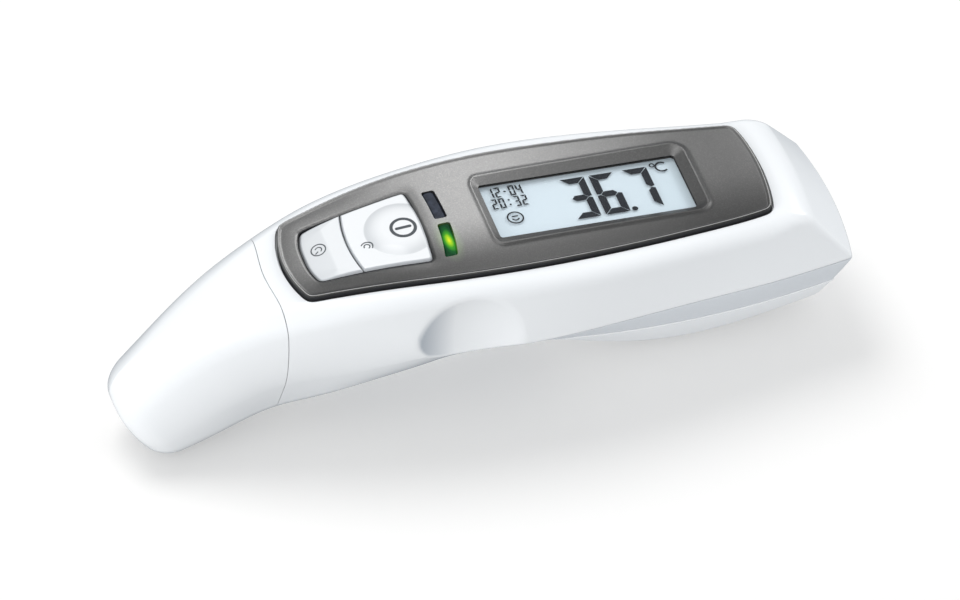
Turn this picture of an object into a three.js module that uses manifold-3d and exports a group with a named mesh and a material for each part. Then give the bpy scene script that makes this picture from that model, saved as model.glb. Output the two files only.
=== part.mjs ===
// Two-way infrared thermometer for ear and forehead. Millimetres, +Z up.
// It lies on its battery bulge and on the tip of its cap, display up, on the plane Z = 0.
// +X points to the display end, -X to the nose and cap. The numbers below put X = 0, Y = 0 at
// the middle of the display; the group is then moved along X by SHIFT, so that the origin is
// the middle of the footprint.
import * as THREE from 'three';
import { mergeVertices } from 'three/addons/utils/BufferGeometryUtils.js';
import Module from 'manifold-3d';

const wasm = await Module();
wasm.setup();

// ---------- driving dimensions ----------
const Z0 = 35.94;              // height of the display face at X = 0
const SHIFT = 21.709;          // from the middle of the display to the middle of the length
const WALL = 2.0;              // wall of the two housings
const CAP_WALL = 1.8;
const DOOR_WALL = 1.5;
const SEAM_GAP = 0.2;          // gap between two shells at a seam
const SEAM_X = -61.5;          // where cap and housing meet, on the middle line
const DOOR_X = -9.3;           // edge of the battery door towards the nose
const PARTING_DROP = 14.33;    // level parting line of the housings, below the display face
const PARTING_Z = Z0 - PARTING_DROP;
const DISPLAY_TILT = 5;        // degrees, display face falls towards the display end
const BEZEL_PROUD = 0.92;      // bezel stands above the housing by this
const BOARD_TOP = -8.0;        // board face, from the display face
const BOARD_THICKNESS = 1.3;
const SWITCH_X = { forehead: -47.0, ear: -37.0 };
const NOSE = { x: -61.8, z: 19.3, angle: 23 };   // nose root; degrees below the horizontal
const NOSE_SCREW_Z = { upper: 29.2, lower: 7.2 };
const HOUSING_SCREW = { x: 34.0, y: 12.05 };     // one on each side of the middle
const CELL = { radius: 5.2, length: 43.4, y: 5.4, z: 16.2 };  // AAA, side by side

// Cross-sections of the outer form at stations along X. Heights are from the display face.
const COLUMN_NAMES = ['topZ', 'topY', 'partingZ', 'partingY', 'ridgeZ', 'ridgeY',
  'bottomZ', 'bottomY', 'shoulderR', 'partingR', 'ridgeR', 'bottomR'];
// x, then height and half width of top, parting, ridge and bottom, then the corner radii
const STATIONS = [
  [-102.37, -31.29, 2.08, -30.14, 5.60, -35.53, 11.04, -41.84, 6.70, 6.14, 8.19, 8.19, 5.12],
  [-92.13, -19.96, 3.66, -23.89, 8.85, -28.42, 11.47, -38.90, 7.45, 5.77, 8.20, 8.18, 5.12],
  [-81.90, -10.91, 5.77, -19.17, 11.51, -22.73, 12.12, -36.62, 7.57, 5.32, 8.19, 8.19, 5.12],
  [-71.66, -4.69, 8.34, -15.99, 13.61, -18.64, 13.04, -35.02, 7.08, 4.75, 8.04, 8.18, 5.12],
  [-61.42, -1.18, 11.41, -14.21, 15.21, -16.36, 14.18, -33.95, 6.15, 4.02, 7.32, 7.89, 5.12],
  [-51.19, 0.65, 14.63, -13.53, 16.34, -15.83, 15.63, -31.75, 5.12, 3.44, 5.43, 7.14, 5.12],
  [-40.95, 1.71, 16.54, -13.72, 17.29, -16.17, 16.72, -29.87, 4.36, 3.15, 2.75, 5.80, 5.09],
  [-30.71, 1.95, 17.89, -14.33, 18.24, -16.63, 16.69, -28.45, 3.82, 3.06, 0.96, 3.96, 4.88],
  [-15.36, 1.37, 19.42, -14.33, 19.15, -18.52, 15.42, -27.98, 3.54, 3.08, 0.41, 1.81, 4.34],
  [0.00, 0.28, 19.07, -14.33, 18.88, -21.37, 14.50, -33.34, 4.58, 3.01, 0.42, 1.06, 4.07],
  [15.36, -0.85, 17.16, -14.33, 18.19, -23.43, 13.68, -36.50, 5.49, 2.87, 0.41, 1.02, 4.09],
  [30.71, -1.92, 14.76, -14.33, 17.61, -23.95, 12.90, -35.36, 6.01, 2.76, 0.41, 1.02, 4.12],
  [40.95, -2.00, 12.83, -14.33, 16.65, -23.34, 12.34, -33.19, 6.38, 2.71, 0.41, 0.98, 4.11],
  [51.19, -2.40, 10.70, -14.33, 15.44, -22.25, 11.85, -30.87, 6.84, 2.66, 0.41, 0.92, 4.09]];
const CROWN = 0.553;           // rise of the top between its shoulders
// Display end: its place, its slopes above and below the parting, its bow in plan, its edge
// radii, and where the shoulder radius fades towards it.
const END = {
  x: 47.98, upperSlope: 0.803, lowerSlope: 0.312, bow: 0.00653,
  upperR: 2.6, lowerR: 0.92, fadeX: 47.1, fadeLength: 16.4, fadeLeast: 0.3,
};
const TIP = { x: -88.41, z: -28.65, angle: 29.42, edgeR: 5.13 };   // flat end of the cap
// Dished finger grip on each flank
const GRIP = { x: -29.7, z: -13.3, y: 39.3, r: 24.0, scaleX: 1.14, scaleZ: 0.854, edgeR: 0.5 };
const FOOT = { z: 0, fromX: -40 };  // the battery bulge is flattened here

// Half outlines in plan: x, y >= 0.
const BEZEL_HALF = [
  [-57.96, 0.00], [-57.80, 2.56], [-57.34, 5.32], [-56.62, 7.78], [-56.16, 8.91],
  [-55.68, 9.57], [-54.90, 9.98], [-51.19, 10.80], [-45.55, 11.93], [-39.62, 13.00],
  [-31.22, 14.23], [-22.83, 14.95], [-16.38, 15.20], [-10.24, 15.20], [0.00, 14.84],
  [9.52, 14.23], [17.91, 13.41], [26.00, 12.44], [29.69, 11.87], [30.92, 11.57],
  [31.73, 10.85], [32.14, 9.83], [32.66, 7.17], [33.01, 3.89], [33.17, 0.00]];
const BUTTONS_HALF = [
  [-54.15, 0.00], [-54.00, 3.07], [-53.44, 5.43], [-53.03, 6.35], [-52.41, 6.81],
  [-51.39, 7.01], [-49.14, 7.27], [-44.74, 7.78], [-38.90, 8.50], [-33.78, 9.16],
  [-32.66, 9.21], [-32.09, 8.80], [-31.84, 7.98], [-31.53, 4.09], [-31.43, 0.00]];

// ---------- materials ----------
const white = (roughness) => ({ color: '#f2f4f6', roughness });
const shellGrey = (roughness) => ({ color: '#e4e8ec', roughness });
const clear = (color, roughness, opacity) => ({ color, roughness, transparent: true, opacity });
const steel = (roughness) => ({ color: '#c3c6c8', roughness, metalness: 1 });
const MATERIALS = {
  frontHousing: white(0.18),
  probeCap: white(0.18),
  button: white(0.2),
  rearHousing: shellGrey(0.22),
  door: shellGrey(0.25),
  bezel: { color: '#8b8c8e', roughness: 0.38, metalness: 0.6 },
  bezelGasket: { color: '#26282a', roughness: 0.6 },
  displayWindow: clear('#eef4f8', 0.05, 0.25),
  redWindow: clear('#3a424c', 0.1, 0.8),
  greenWindow: clear('#4fb53a', 0.1, 0.8),
  windowGasket: { color: '#2c2f33', roughness: 0.9 },
  lcdGlass: { color: '#cfdbe2', roughness: 0.15 },
  backlight: { color: '#eef3f6', roughness: 0.4 },
  lcdFrame: { color: '#d9dadb', roughness: 0.5 },
  zebra: { color: '#c86a4a', roughness: 0.7 },
  pad: { color: '#d8d4cc', roughness: 0.75 },
  tactSwitch: { color: '#2b2d2f', roughness: 0.5, metalness: 0.2 },
  board: { color: '#1f7a44', roughness: 0.5 },
  chip: { color: '#1c1d1f', roughness: 0.45 },
  buzzer: { color: '#202224', roughness: 0.5 },
  redLed: { color: '#e9d7d2', roughness: 0.3 },
  greenLed: { color: '#dfeeda', roughness: 0.3 },
  connector: { color: '#f0ead8', roughness: 0.5 },
  probeHousing: { color: '#dfe2e4', roughness: 0.3 },
  probeSeal: { color: '#4a4d50', roughness: 0.7 },
  sleeve: { color: '#c9a35c', roughness: 0.3, metalness: 1 },
  sensorWindow: { color: '#3b3f45', roughness: 0.1, metalness: 0.3 },
  sensor: steel(0.25),
  cable: { color: '#3c3f42', roughness: 0.6 },
  cell: { color: '#3f8f55', roughness: 0.35, metalness: 0.3 },
  steel: steel(0.3),
};

// ---------- the outer form as a distance function ----------
const RAD = Math.PI / 180;

// Natural cubic spline through the points.
function spline(xs, ys) {
  const count = xs.length;
  const second = new Array(count).fill(0);   // second derivatives
  const upper = new Array(count).fill(0);
  const right = new Array(count).fill(0);
  for (let i = 1; i < count - 1; i++) {
    const before = xs[i] - xs[i - 1];
    const after = xs[i + 1] - xs[i];
    const bend = 6 * ((ys[i + 1] - ys[i]) / after - (ys[i] - ys[i - 1]) / before);
    const pivot = 2 * (before + after) - before * upper[i - 1];
    upper[i] = after / pivot;
    right[i] = (bend - before * right[i - 1]) / pivot;
  }
  for (let i = count - 2; i > 0; i--) second[i] = right[i] - upper[i] * second[i + 1];
  return (x) => {
    let i = 0;
    while (i < count - 2 && x > xs[i + 1]) i++;
    const h = xs[i + 1] - xs[i];
    const a = (xs[i + 1] - x) / h;
    const b = (x - xs[i]) / h;
    return a * ys[i] + b * ys[i + 1]
      + ((a * a * a - a) * second[i] + (b * b * b - b) * second[i + 1]) * h * h / 6;
  };
}

const STATION_X = STATIONS.map((row) => row[0]);
const curves = Object.fromEntries(COLUMN_NAMES.map((name, k) =>
  [name, spline(STATION_X, STATIONS.map((row) => row[k + 1]))]));
const clampX = (x) => Math.min(STATION_X.at(-1), Math.max(STATION_X[0], x));
const section = (x) => Object.fromEntries(COLUMN_NAMES.map((name) =>
  [name, curves[name](clampX(x))]));
const crownedTop = (at, y) => at.topZ - CROWN * (y / at.topY) ** 2;
const topZ = (x, y) => Z0 + crownedTop(section(x), y);

// The larger of two distances, with the corner between them rounded.
function roundedMax(a, b, radius) {
  const u = Math.max(a + radius, 0);
  const v = Math.max(b + radius, 0);
  return Math.min(Math.max(a, b), -radius) + Math.sqrt(u * u + v * v);
}

// Below zero inside the outer form, elsewhere about the distance in mm.
function form(x, y, z) {
  const side = Math.abs(y);
  const height = z - Z0;
  const at = section(x);
  const flank = (y0, z0, y1, z1) =>
    ((side - y0) * (z0 - z1) + (height - z0) * (y1 - y0)) / Math.hypot(y1 - y0, z1 - z0);
  const upperFlank = flank(at.topY, at.topZ, at.partingY, at.partingZ);
  const middleFlank = flank(at.partingY, at.partingZ, at.ridgeY, at.ridgeZ);
  const lowerFlank = flank(at.ridgeY, at.ridgeZ, at.bottomY, at.bottomZ);

  const x0 = clampX(clampX(x) - 0.5);
  const x1 = clampX(clampX(x) + 0.5);
  const stretch = (curve) => Math.sqrt(1 + ((curve(x1) - curve(x0)) / (x1 - x0)) ** 2);
  const top = (height - crownedTop(at, side)) / stretch(curves.topZ);
  const bottom = (at.bottomZ - height) / stretch(curves.bottomZ);

  const endFace = (slope) =>
    (x - (END.x - END.bow * side * side - (height + PARTING_DROP) * slope))
    / Math.sqrt(1 + slope ** 2);
  const fade = Math.min(1, Math.max(END.fadeLeast, (END.fadeX - x) / END.fadeLength));
  const tipFace = -((x - TIP.x) * Math.cos(TIP.angle * RAD)
    + (height - TIP.z) * Math.sin(TIP.angle * RAD));
  const dish = Math.sqrt(((x - GRIP.x) * GRIP.scaleX) ** 2 + (side - GRIP.y) ** 2
    + ((height - GRIP.z) * GRIP.scaleZ) ** 2) - GRIP.r;

  let distance = roundedMax(upperFlank, middleFlank, at.partingR);
  distance = roundedMax(distance, lowerFlank, at.ridgeR);
  distance = roundedMax(distance, bottom, at.bottomR);
  distance = roundedMax(distance, endFace(-END.lowerSlope), END.lowerR);
  const topAndEnd = roundedMax(top, endFace(END.upperSlope), END.upperR);
  distance = roundedMax(distance, topAndEnd, at.shoulderR * fade);
  distance = roundedMax(distance, tipFace, TIP.edgeR);
  distance = roundedMax(distance, -dish, GRIP.edgeR);
  return x > FOOT.fromX ? Math.max(distance, FOOT.z - z) : distance;
}

// ---------- meshes and solids ----------
// Positions only, with equal points merged.
function bare(source) {
  const geometry = source.index ? source.toNonIndexed() : source.clone();
  geometry.deleteAttribute('normal');
  geometry.deleteAttribute('uv');
  return mergeVertices(geometry, 1e-4);
}

function indexed(positions, index) {
  const geometry = new THREE.BufferGeometry();
  geometry.setAttribute('position', new THREE.BufferAttribute(new Float32Array(positions), 3));
  geometry.setIndex(index);
  return geometry;
}

function solid(shape) {
  if (!(shape instanceof THREE.BufferGeometry)) return shape;
  const merged = bare(shape);
  const index = merged.index.array;
  const triangles = [];
  for (let k = 0; k < index.length; k += 3) {
    const [a, b, c] = index.slice(k, k + 3);
    if (a !== b && b !== c && a !== c) triangles.push(a, b, c);
  }
  const manifold = new wasm.Manifold(new wasm.Mesh({
    numProp: 3,
    vertProperties: new Float32Array(merged.attributes.position.array),
    triVerts: new Uint32Array(triangles),
  }));
  if (manifold.volume() < 0) throw new Error('a solid is inside out');
  return manifold;
}

function geometryOf(manifold) {
  const mesh = manifold.getMesh();
  return indexed(mesh.vertProperties, [...mesh.triVerts]);
}

const join = (base, ...parts) => parts.reduce((sum, p) => sum.add(solid(p)), solid(base));
const cut = (base, ...parts) => parts.reduce((rest, p) => rest.subtract(solid(p)), solid(base));
const common = (base, ...parts) =>
  parts.reduce((rest, p) => rest.intersect(solid(p)), solid(base));

// ---------- basic shapes; a range is [low, high] ----------
const middle = ([low, high]) => (low + high) / 2;
const size = ([low, high]) => high - low;
const box = (x, y, z) => new THREE.BoxGeometry(size(x), size(y), size(z))
  .translate(middle(x), middle(y), middle(z));
const cylinderZ = ([x, y], z, radius, segments, topRadius = radius) =>
  new THREE.CylinderGeometry(topRadius, radius, size(z), segments)
    .rotateX(Math.PI / 2).translate(x, y, middle(z));
const cylinderX = (x, z, radius, segments) =>
  new THREE.CylinderGeometry(radius, radius, size(x), segments)
    .rotateZ(-Math.PI / 2).translate(middle(x), 0, z);

const vectors = (points) => points.map(([x, y]) => new THREE.Vector2(x, y));
function extrude(outline, depth, holes = []) {
  const shape = new THREE.Shape(vectors(outline));
  for (const hole of holes) shape.holes.push(new THREE.Path(vectors(hole)));
  return new THREE.ExtrudeGeometry(shape, { depth, bevelEnabled: false });
}
const prism = (outline, z, holes) => extrude(outline, size(z), holes).translate(0, 0, z[0]);
// Outline in X and Z, extruded along Y.
const prismY = (outline, y) => extrude(outline, size(y)).rotateX(Math.PI / 2)
  .translate(0, y[1], 0);
// Outline in plan, through everything at the top of the body.
const column = (outline) => prism(outline, [20, 60]);

// Profiles are radius and place along the axis.
const lathe = (profile, segments) => new THREE.LatheGeometry(vectors(profile), segments);
const latheX = (profile, segments) => lathe(profile, segments).rotateZ(-Math.PI / 2);

const mirror = (half) =>
  [...half, ...half.slice(1, -1).reverse().map(([x, y]) => [x, -y])];

// Closed outline moved inwards by the distance, outwards when it is below zero.
function inset(outline, distance) {
  const next = (i) => outline[(i + 1) % outline.length];
  const turn = Math.sign(outline.reduce((sum, [x, y], i) =>
    sum + x * next(i)[1] - next(i)[0] * y, 0));
  const inward = ([ax, ay], [bx, by]) => {
    const length = Math.hypot(bx - ax, by - ay);
    return [-(by - ay) / length * turn, (bx - ax) / length * turn];
  };
  const moved = outline.map((point, i) => {
    const [ux, uy] = inward(outline.at(i - 1), point);
    const [vx, vy] = inward(point, next(i));
    const k = distance / (1 + ux * vx + uy * vy);
    return [point[0] + (ux + vx) * k, point[1] + (uy + vy) * k];
  });
  const toOutline = ([x, y]) => Math.min(...outline.map(([ax, ay], i) => {
    const ex = next(i)[0] - ax;
    const ey = next(i)[1] - ay;
    const along = ((x - ax) * ex + (y - ay) * ey) / (ex * ex + ey * ey);
    const t = Math.min(1, Math.max(0, along));
    return Math.hypot(x - ax - t * ex, y - ay - t * ey);
  }));
  // points that fold over at a tight corner come too close to the outline, and go
  return moved.filter((point) => toOutline(point) > Math.abs(distance) - 0.02);
}

function roundRect([x0, x1], [y0, y1], r, steps = 4) {
  const corners = [[x1 - r, y1 - r], [x0 + r, y1 - r], [x0 + r, y0 + r], [x1 - r, y0 + r]];
  return corners.flatMap(([x, y], corner) => Array.from({ length: steps + 1 }, (_, k) => {
    const angle = (90 * corner + 90 * k / steps) * RAD;
    return [x + r * Math.cos(angle), y + r * Math.sin(angle)];
  }));
}

const roundWire = (radius, sides, path, steps) => new THREE.ExtrudeGeometry(
  new THREE.Shape(Array.from({ length: sides }, (_, k) => {
    const angle = 2 * Math.PI * k / sides;
    return new THREE.Vector2(radius * Math.cos(angle), radius * Math.sin(angle));
  })),
  { steps, extrudePath: path, bevelEnabled: false });

// Closed rings of equal length, with a pole point at each end.
function ringSolid(rings, firstPole, lastPole) {
  const count = rings[0].length;
  const at = (i, j) => 1 + i * count + (j % count);
  const last = 1 + rings.length * count;
  const index = [];
  for (let j = 0; j < count; j++) index.push(0, at(0, j + 1), at(0, j));
  for (let i = 0; i < rings.length - 1; i++) {
    for (let j = 0; j < count; j++) {
      index.push(at(i, j), at(i + 1, j + 1), at(i + 1, j));
      index.push(at(i, j), at(i, j + 1), at(i + 1, j + 1));
    }
  }
  for (let j = 0; j < count; j++) {
    index.push(last, at(rings.length - 1, j), at(rings.length - 1, j + 1));
  }
  return solid(indexed([firstPole, ...rings.flat(), lastPole].flat(), index));
}

// The outer form grown by the offset (below zero shrinks it): rays from the middle of each
// section out to the surface. `steps` sections lie between two ends, where `fan` leaning
// sections close the form; `split` divides the five sides of a half section.
function formSolid(offset, { steps, fan, split, fromX = 34.8, toX = -77.8 }) {
  const cast = (x, [dx, dy, dz]) => {
    const at = section(x);
    const centreZ = (at.topZ + at.bottomZ) / 2 + Z0;
    const point = (t) => [x + dx * t, dy * t, centreZ + dz * t];
    let near = 0;
    let far = 60;
    for (let k = 0; k < 34; k++) {
      const half = (near + far) / 2;
      if (form(...point(half)) < offset) near = half;
      else far = half;
    }
    return point(near);
  };
  const ring = (x, lean) => {
    const at = section(x);
    const centreZ = (at.topZ + at.bottomZ) / 2;
    const corners = [[0, at.topZ], [at.topY, at.topZ], [at.partingY, at.partingZ],
      [at.ridgeY, at.ridgeZ], [at.bottomY, at.bottomZ]];
    const keys = [...corners.map(([y, z]) => Math.atan2(y, z - centreZ)), Math.PI];
    const angles = split.flatMap((parts, k) => Array.from({ length: parts }, (_, j) =>
      keys[k] + (keys[k + 1] - keys[k]) * j / parts));
    const around = [...angles, Math.PI, ...angles.slice(1).reverse().map((v) => -v)];
    const cos = Math.cos(lean * RAD);
    const sin = Math.sin(lean * RAD);
    return around.map((v) => cast(x, [sin, cos * Math.sin(v), cos * Math.cos(v)]));
  };
  const rings = [];
  for (let i = 1; i < fan; i++) rings.push(ring(fromX, 90 * (1 - i / fan)));
  for (let i = 0; i <= steps; i++) rings.push(ring(fromX + (toX - fromX) * i / steps, 0));
  for (let i = 1; i < fan; i++) rings.push(ring(toX, -90 * i / fan));
  return ringSolid(rings, cast(fromX, [1, 0, 0]), cast(toX, [-1, 0, 0]));
}

// A block between two height functions over a rectangle in plan.
function slab([x0, x1], nx, [y0, y1], ny, lowZ, highZ) {
  const positions = [];
  const index = [];
  const at = (i, j, level) => (i * (ny + 1) + j) * 2 + level;
  const quad = (a, b, c, d) => index.push(a, b, c, a, c, d);
  for (let i = 0; i <= nx; i++) {
    for (let j = 0; j <= ny; j++) {
      const x = x0 + (x1 - x0) * i / nx;
      const y = y0 + (y1 - y0) * j / ny;
      positions.push(x, y, lowZ(x, y), x, y, highZ(x, y));
    }
  }
  for (let i = 0; i < nx; i++) {
    for (let j = 0; j < ny; j++) {
      quad(at(i, j, 1), at(i + 1, j, 1), at(i + 1, j + 1, 1), at(i, j + 1, 1));
      quad(at(i, j, 0), at(i, j + 1, 0), at(i + 1, j + 1, 0), at(i + 1, j, 0));
    }
  }
  for (let i = 0; i < nx; i++) {
    quad(at(i, 0, 0), at(i + 1, 0, 0), at(i + 1, 0, 1), at(i, 0, 1));
    quad(at(i, ny, 0), at(i, ny, 1), at(i + 1, ny, 1), at(i + 1, ny, 0));
  }
  for (let j = 0; j < ny; j++) {
    quad(at(0, j, 0), at(0, j, 1), at(0, j + 1, 1), at(0, j + 1, 0));
    quad(at(nx, j, 0), at(nx, j + 1, 0), at(nx, j + 1, 1), at(nx, j, 1));
  }
  return solid(indexed(positions, index));
}

// A layer that follows the top of the body, between two heights above it.
const topLayer = (low, high, x, nx) =>
  slab(x, nx, [-16, 16], 4, (u, v) => topZ(u, v) + low, (u, v) => topZ(u, v) + high);
const bezelLayer = (low, high) => topLayer(low, high, [-60, 35], 12);

// ---------- scene graph ----------
const thermometer = new THREE.Group();
thermometer.name = 'thermometer';
thermometer.position.x = SHIFT;

// A group turned about Y, and the same frame as a matrix.
function tilted(x, z, angle) {
  const group = new THREE.Group();
  group.position.set(x, 0, z);
  group.rotation.y = angle * RAD;
  thermometer.add(group);
  const frame = new THREE.Matrix4().makeRotationY(angle * RAD).setPosition(x, 0, z);
  return [group, frame];
}
// square to the display face
const [display, displayFrame] = tilted(0, Z0, DISPLAY_TILT);
// its +X runs from the nose tip back into the body
const [nose, noseFrame] = tilted(NOSE.x, NOSE.z, -NOSE.angle);

function add(name, shape, material, parent = thermometer) {
  const geometry = shape instanceof THREE.BufferGeometry ? bare(shape) : geometryOf(shape);
  const mesh = new THREE.Mesh(geometry, new THREE.MeshStandardMaterial(material));
  mesh.name = name;
  parent.add(mesh);
  return mesh;
}

// ---------- shells ----------
const COARSE = { steps: 18, fan: 4, split: [2, 3, 2, 2, 1] };
const CAVITY = { ...COARSE, steps: 16, fromX: 33, toX: -70 };
const NOSE_END = { fan: 5, split: [2, 3, 3, 3, 1] };
const outer = formSolid(0, { steps: 28, fan: 5, split: [3, 3, 3, 3, 2] });
const hollow = cut(outer, formSolid(-WALL, CAVITY));
const insideWalls = formSolid(-0.9, COARSE);   // limit for bosses and floor, rooted in the wall
const insideDoor = formSolid(-2.0, COARSE);    // limit for what stands inside the door

// Cap and housing meet at a sheet across the nose end, bowed towards the cap in plan.
function seamSide(shift, farX) {
  const line = [];
  for (let k = -6; k <= 6; k++) {
    const y = k * 5;
    line.push([SEAM_X + 0.9 * (1 - Math.exp(-((y / 6.6) ** 2))) + shift, y]);
  }
  return prism([...line, [farX, 30], [farX, -30]], [-20, 60]);
}

// Parting of the housings, x and z: level along the battery bulge, then it drops below the grip
// and goes round the bottom, so that the front housing is a full collar behind the nose.
const PARTING_LINE = [
  [70, PARTING_Z], [-13.5, PARTING_Z], [-15.5, 20.8], [-17.5, 18.4], [-20, 15.2],
  [-23, 12.6], [-27, 11.2], [-31, 10.6], [-35, 10.3], [-39, 9.8], [-42, 9.2], [-45, 8.3],
  [-48, 7.1], [-50.3, 5.2], [-52, 2.6], [-53, -1], [-54, -6], [-54, -30]];
// The side of the parting enclosed by the far corners, the line moved up and to -X by `shift`.
const partingSide = (shift, corners) =>
  prismY([...PARTING_LINE.map(([x, z]) => [x - shift, z + shift]), ...corners], [-40, 40]);

// Everything under the ridge, from DOOR_X to the display end.
function doorZone(gap) {
  const edge = [];
  for (let x = DOOR_X; x <= 52; x += 4.7) edge.push([x, Z0 + section(x).ridgeZ - gap]);
  edge[0][0] += gap;
  const corners = [[60, edge.at(-1)[1]], [60, -20], [DOOR_X + gap, -20]];
  return prismY([...edge, ...corners], [-40, 40]);
}

const bezelOutline = mirror(BEZEL_HALF);
const buttonOutline = mirror(BUTTONS_HALF);

// A horizontal boss with a web to the wall, for one screw of the nose.
const noseBoss = (z, radius, bossEnd, webEnd, webZ) => common(join(
  cylinderX([-59.6, bossEnd], z, radius, 16),
  box([-59.6, webEnd], [-1.2, 1.2], webZ),
), insideWalls);

function frontHousing() {
  const gap = SEAM_GAP / 2;
  const above = partingSide(gap, [[-70, -30 + gap], [-70, 70], [70, 70]]);
  const opening = (outline) => prism(outline, [25, 50]);
  let front = common(hollow, seamSide(gap, 70), above);
  front = cut(front,
    // recess for the bezel and its gasket
    common(column(inset(bezelOutline, -0.35)), topLayer(-1.1, 8, [-62, 36], 14)),
    // display, buttons, LEDs
    opening(roundRect([-22.2, 22.4], [-10.2, 10.2], 1.5)),
    opening(inset(buttonOutline, -0.3)),
    opening(roundRect([-30.7, -26.0], [-9.9, 9.9], 0.6)));

  const bezelSpace = common(column(inset(bezelOutline, -0.5)),
    topLayer(-1.3, 8, [-62, 40], 14));
  for (const y of [-HOUSING_SCREW.y, HOUSING_SCREW.y]) {
    const at = [HOUSING_SCREW.x, y];
    const boss = cut(common(cylinderZ(at, [23.3, 38], 2.6, 16), insideWalls), bezelSpace);
    front = cut(join(front, boss), cylinderZ(at, [20, 31.5], 1.3, 12));
  }

  const { upper, lower } = NOSE_SCREW_Z;
  const upperBoss = cut(noseBoss(upper, 2.7, -54.2, -54.6, [upper, 38]),
    topLayer(-1.3, 8, [-62, -50], 4));
  front = cut(join(front, upperBoss), cylinderX([-62, -55.2], upper, 1.15, 12));
  front = join(front, noseBoss(lower, 2.5, -54.6, -54.8, [0, lower]));
  return cut(front, cylinderX([-62, -55.4], lower, 1.15, 12));
}

// Cross-section of the floor over the cells, y and z: low at the sides, raised over the cells.
const FLOOR = [
  [-20, 19.9], [-10, 19.9], [-10, 21.8], [10, 21.8], [10, 19.9], [20, 19.9],
  [20, 21.1], [11.2, 21.1], [11.2, 23], [-11.2, 23], [-11.2, 21.1], [-20, 21.1]];

function rearHousing() {
  const gap = SEAM_GAP / 2;
  const below = partingSide(-gap, [[70, -30 - gap]]);
  const shell = cut(common(hollow, seamSide(gap, 70), below), doorZone(0));
  const floor = common(prismY(FLOOR, [-41, 10.6]).rotateZ(Math.PI / 2), insideWalls);
  // end walls that hold the contacts
  const displayWall = common(box([39.7, 40.7], [-9.9, 9.9], [12.9, 22]), insideDoor);
  const noseWall = common(box([-10.6, -9.5], [-9.8, 9.8], [7.6, 22]), insideWalls);
  let rear = join(shell, join(floor, displayWall, noseWall));
  for (const y of [-HOUSING_SCREW.y, HOUSING_SCREW.y]) {
    const at = [HOUSING_SCREW.x, y];
    rear = cut(rear, cylinderZ(at, [17, 24], 1.3, 12), cylinderZ(at, [16, 19.9], 1.9, 14));
  }
  return rear;
}

const batteryDoor = () => common(cut(outer, formSolid(-DOOR_WALL, CAVITY)), doorZone(SEAM_GAP));

// Hollow, open to the body, with a round window hole in its flat end.
function probeCap() {
  const hole = new THREE.CylinderGeometry(3.8, 3.8, 16, 28).rotateZ(Math.PI / 2)
    .rotateY(-TIP.angle * RAD).translate(TIP.x, 0, TIP.z + Z0 - 0.6);
  const shell = cut(outer, formSolid(-CAP_WALL, { ...NOSE_END, steps: 22 }));
  return cut(common(shell, seamSide(-SEAM_GAP / 2, -110)), hole);
}

add('front_housing', frontHousing(), MATERIALS.frontHousing);
add('rear_housing', rearHousing(), MATERIALS.rearHousing);
add('battery_door', batteryDoor(), MATERIALS.door);
add('probe_cap', probeCap(), MATERIALS.probeCap);

// ---------- bezel, gasket, LED windows ----------
const LCD_OPENING = [[-18.85, 18.85], [-7.05, 7.05], 0.6];
// side of the middle line, reach in |y|, bow of the long edges towards -X at the outer end
const LED_WINDOWS = {
  red: { side: 1, inner: 0.45, outer: 7.9, bow: 0.33 },
  green: { side: -1, inner: 0.9, outer: 9.3, bow: 1.05 },
};

// Sloped sides from the bezel face down to the window.
function displayRecess() {
  const floorZ = 0.3;
  const rimZ = 1.75;
  const low = roundRect(...LCD_OPENING, 3);
  const high = roundRect([-19.35, 19.95], [-8.75, 8.75], 2.1, 3);
  const n = low.length;
  const points = [...low.map((p) => [...p, floorZ]), ...high.map((p) => [...p, rimZ]),
    [0, 0, floorZ], [0, 0, rimZ]];
  const index = [];
  for (let i = 0; i < n; i++) {
    const j = (i + 1) % n;
    index.push(i, j, n + j, i, n + j, n + i, 2 * n, j, i, 2 * n + 1, n + i, n + j);
  }
  return indexed(points.flat(), index).applyMatrix4(displayFrame);
}

function ledOutline({ side, inner, outer: outerY, bow }, margin) {
  const edge = (x) => Array.from({ length: 5 }, (_, k) => {
    const y = inner + margin + (outerY - inner - 2 * margin) * k / 4;
    return [x - bow * (y / outerY) ** 2, y * side];
  });
  return [...edge(-28.97 + margin), ...edge(-26.55 - margin).reverse()];
}

function bezelPanel() {
  const body = common(column(inset(bezelOutline, 1.45)), bezelLayer(-0.8, BEZEL_PROUD - 0.2));
  const face = common(column(bezelOutline), bezelLayer(BEZEL_PROUD - 0.42, BEZEL_PROUD));
  const lcdOpening = prism(roundRect(...LCD_OPENING, 2), [-6, 6]);
  const windowSeat = box([-20.4, 20.6], [-8.9, 8.9], [-6, 0.42]);
  return cut(join(body, face),
    column(buttonOutline),
    displayRecess(),
    lcdOpening.applyMatrix4(displayFrame),
    windowSeat.applyMatrix4(displayFrame),
    column(ledOutline(LED_WINDOWS.green, 0)),
    column(ledOutline(LED_WINDOWS.red, 0)));
}

function bezelGasket() {
  const hole = prism(inset(bezelOutline, 1.25), [10, 70]);
  const band = cut(column(inset(bezelOutline, 0.05)), hole);
  return common(band, bezelLayer(-0.9, BEZEL_PROUD - 0.55));
}

const ledWindow = (place) => common(column(ledOutline(place, 0.15)),
  topLayer(-4.9, BEZEL_PROUD - 0.25, [-32, -24], 2));

add('bezel_panel', bezelPanel(), MATERIALS.bezel);
add('bezel_gasket', bezelGasket(), MATERIALS.bezelGasket);
add('led_window_red', ledWindow(LED_WINDOWS.red), MATERIALS.redWindow);
add('led_window_green', ledWindow(LED_WINDOWS.green), MATERIALS.greenWindow);

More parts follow.
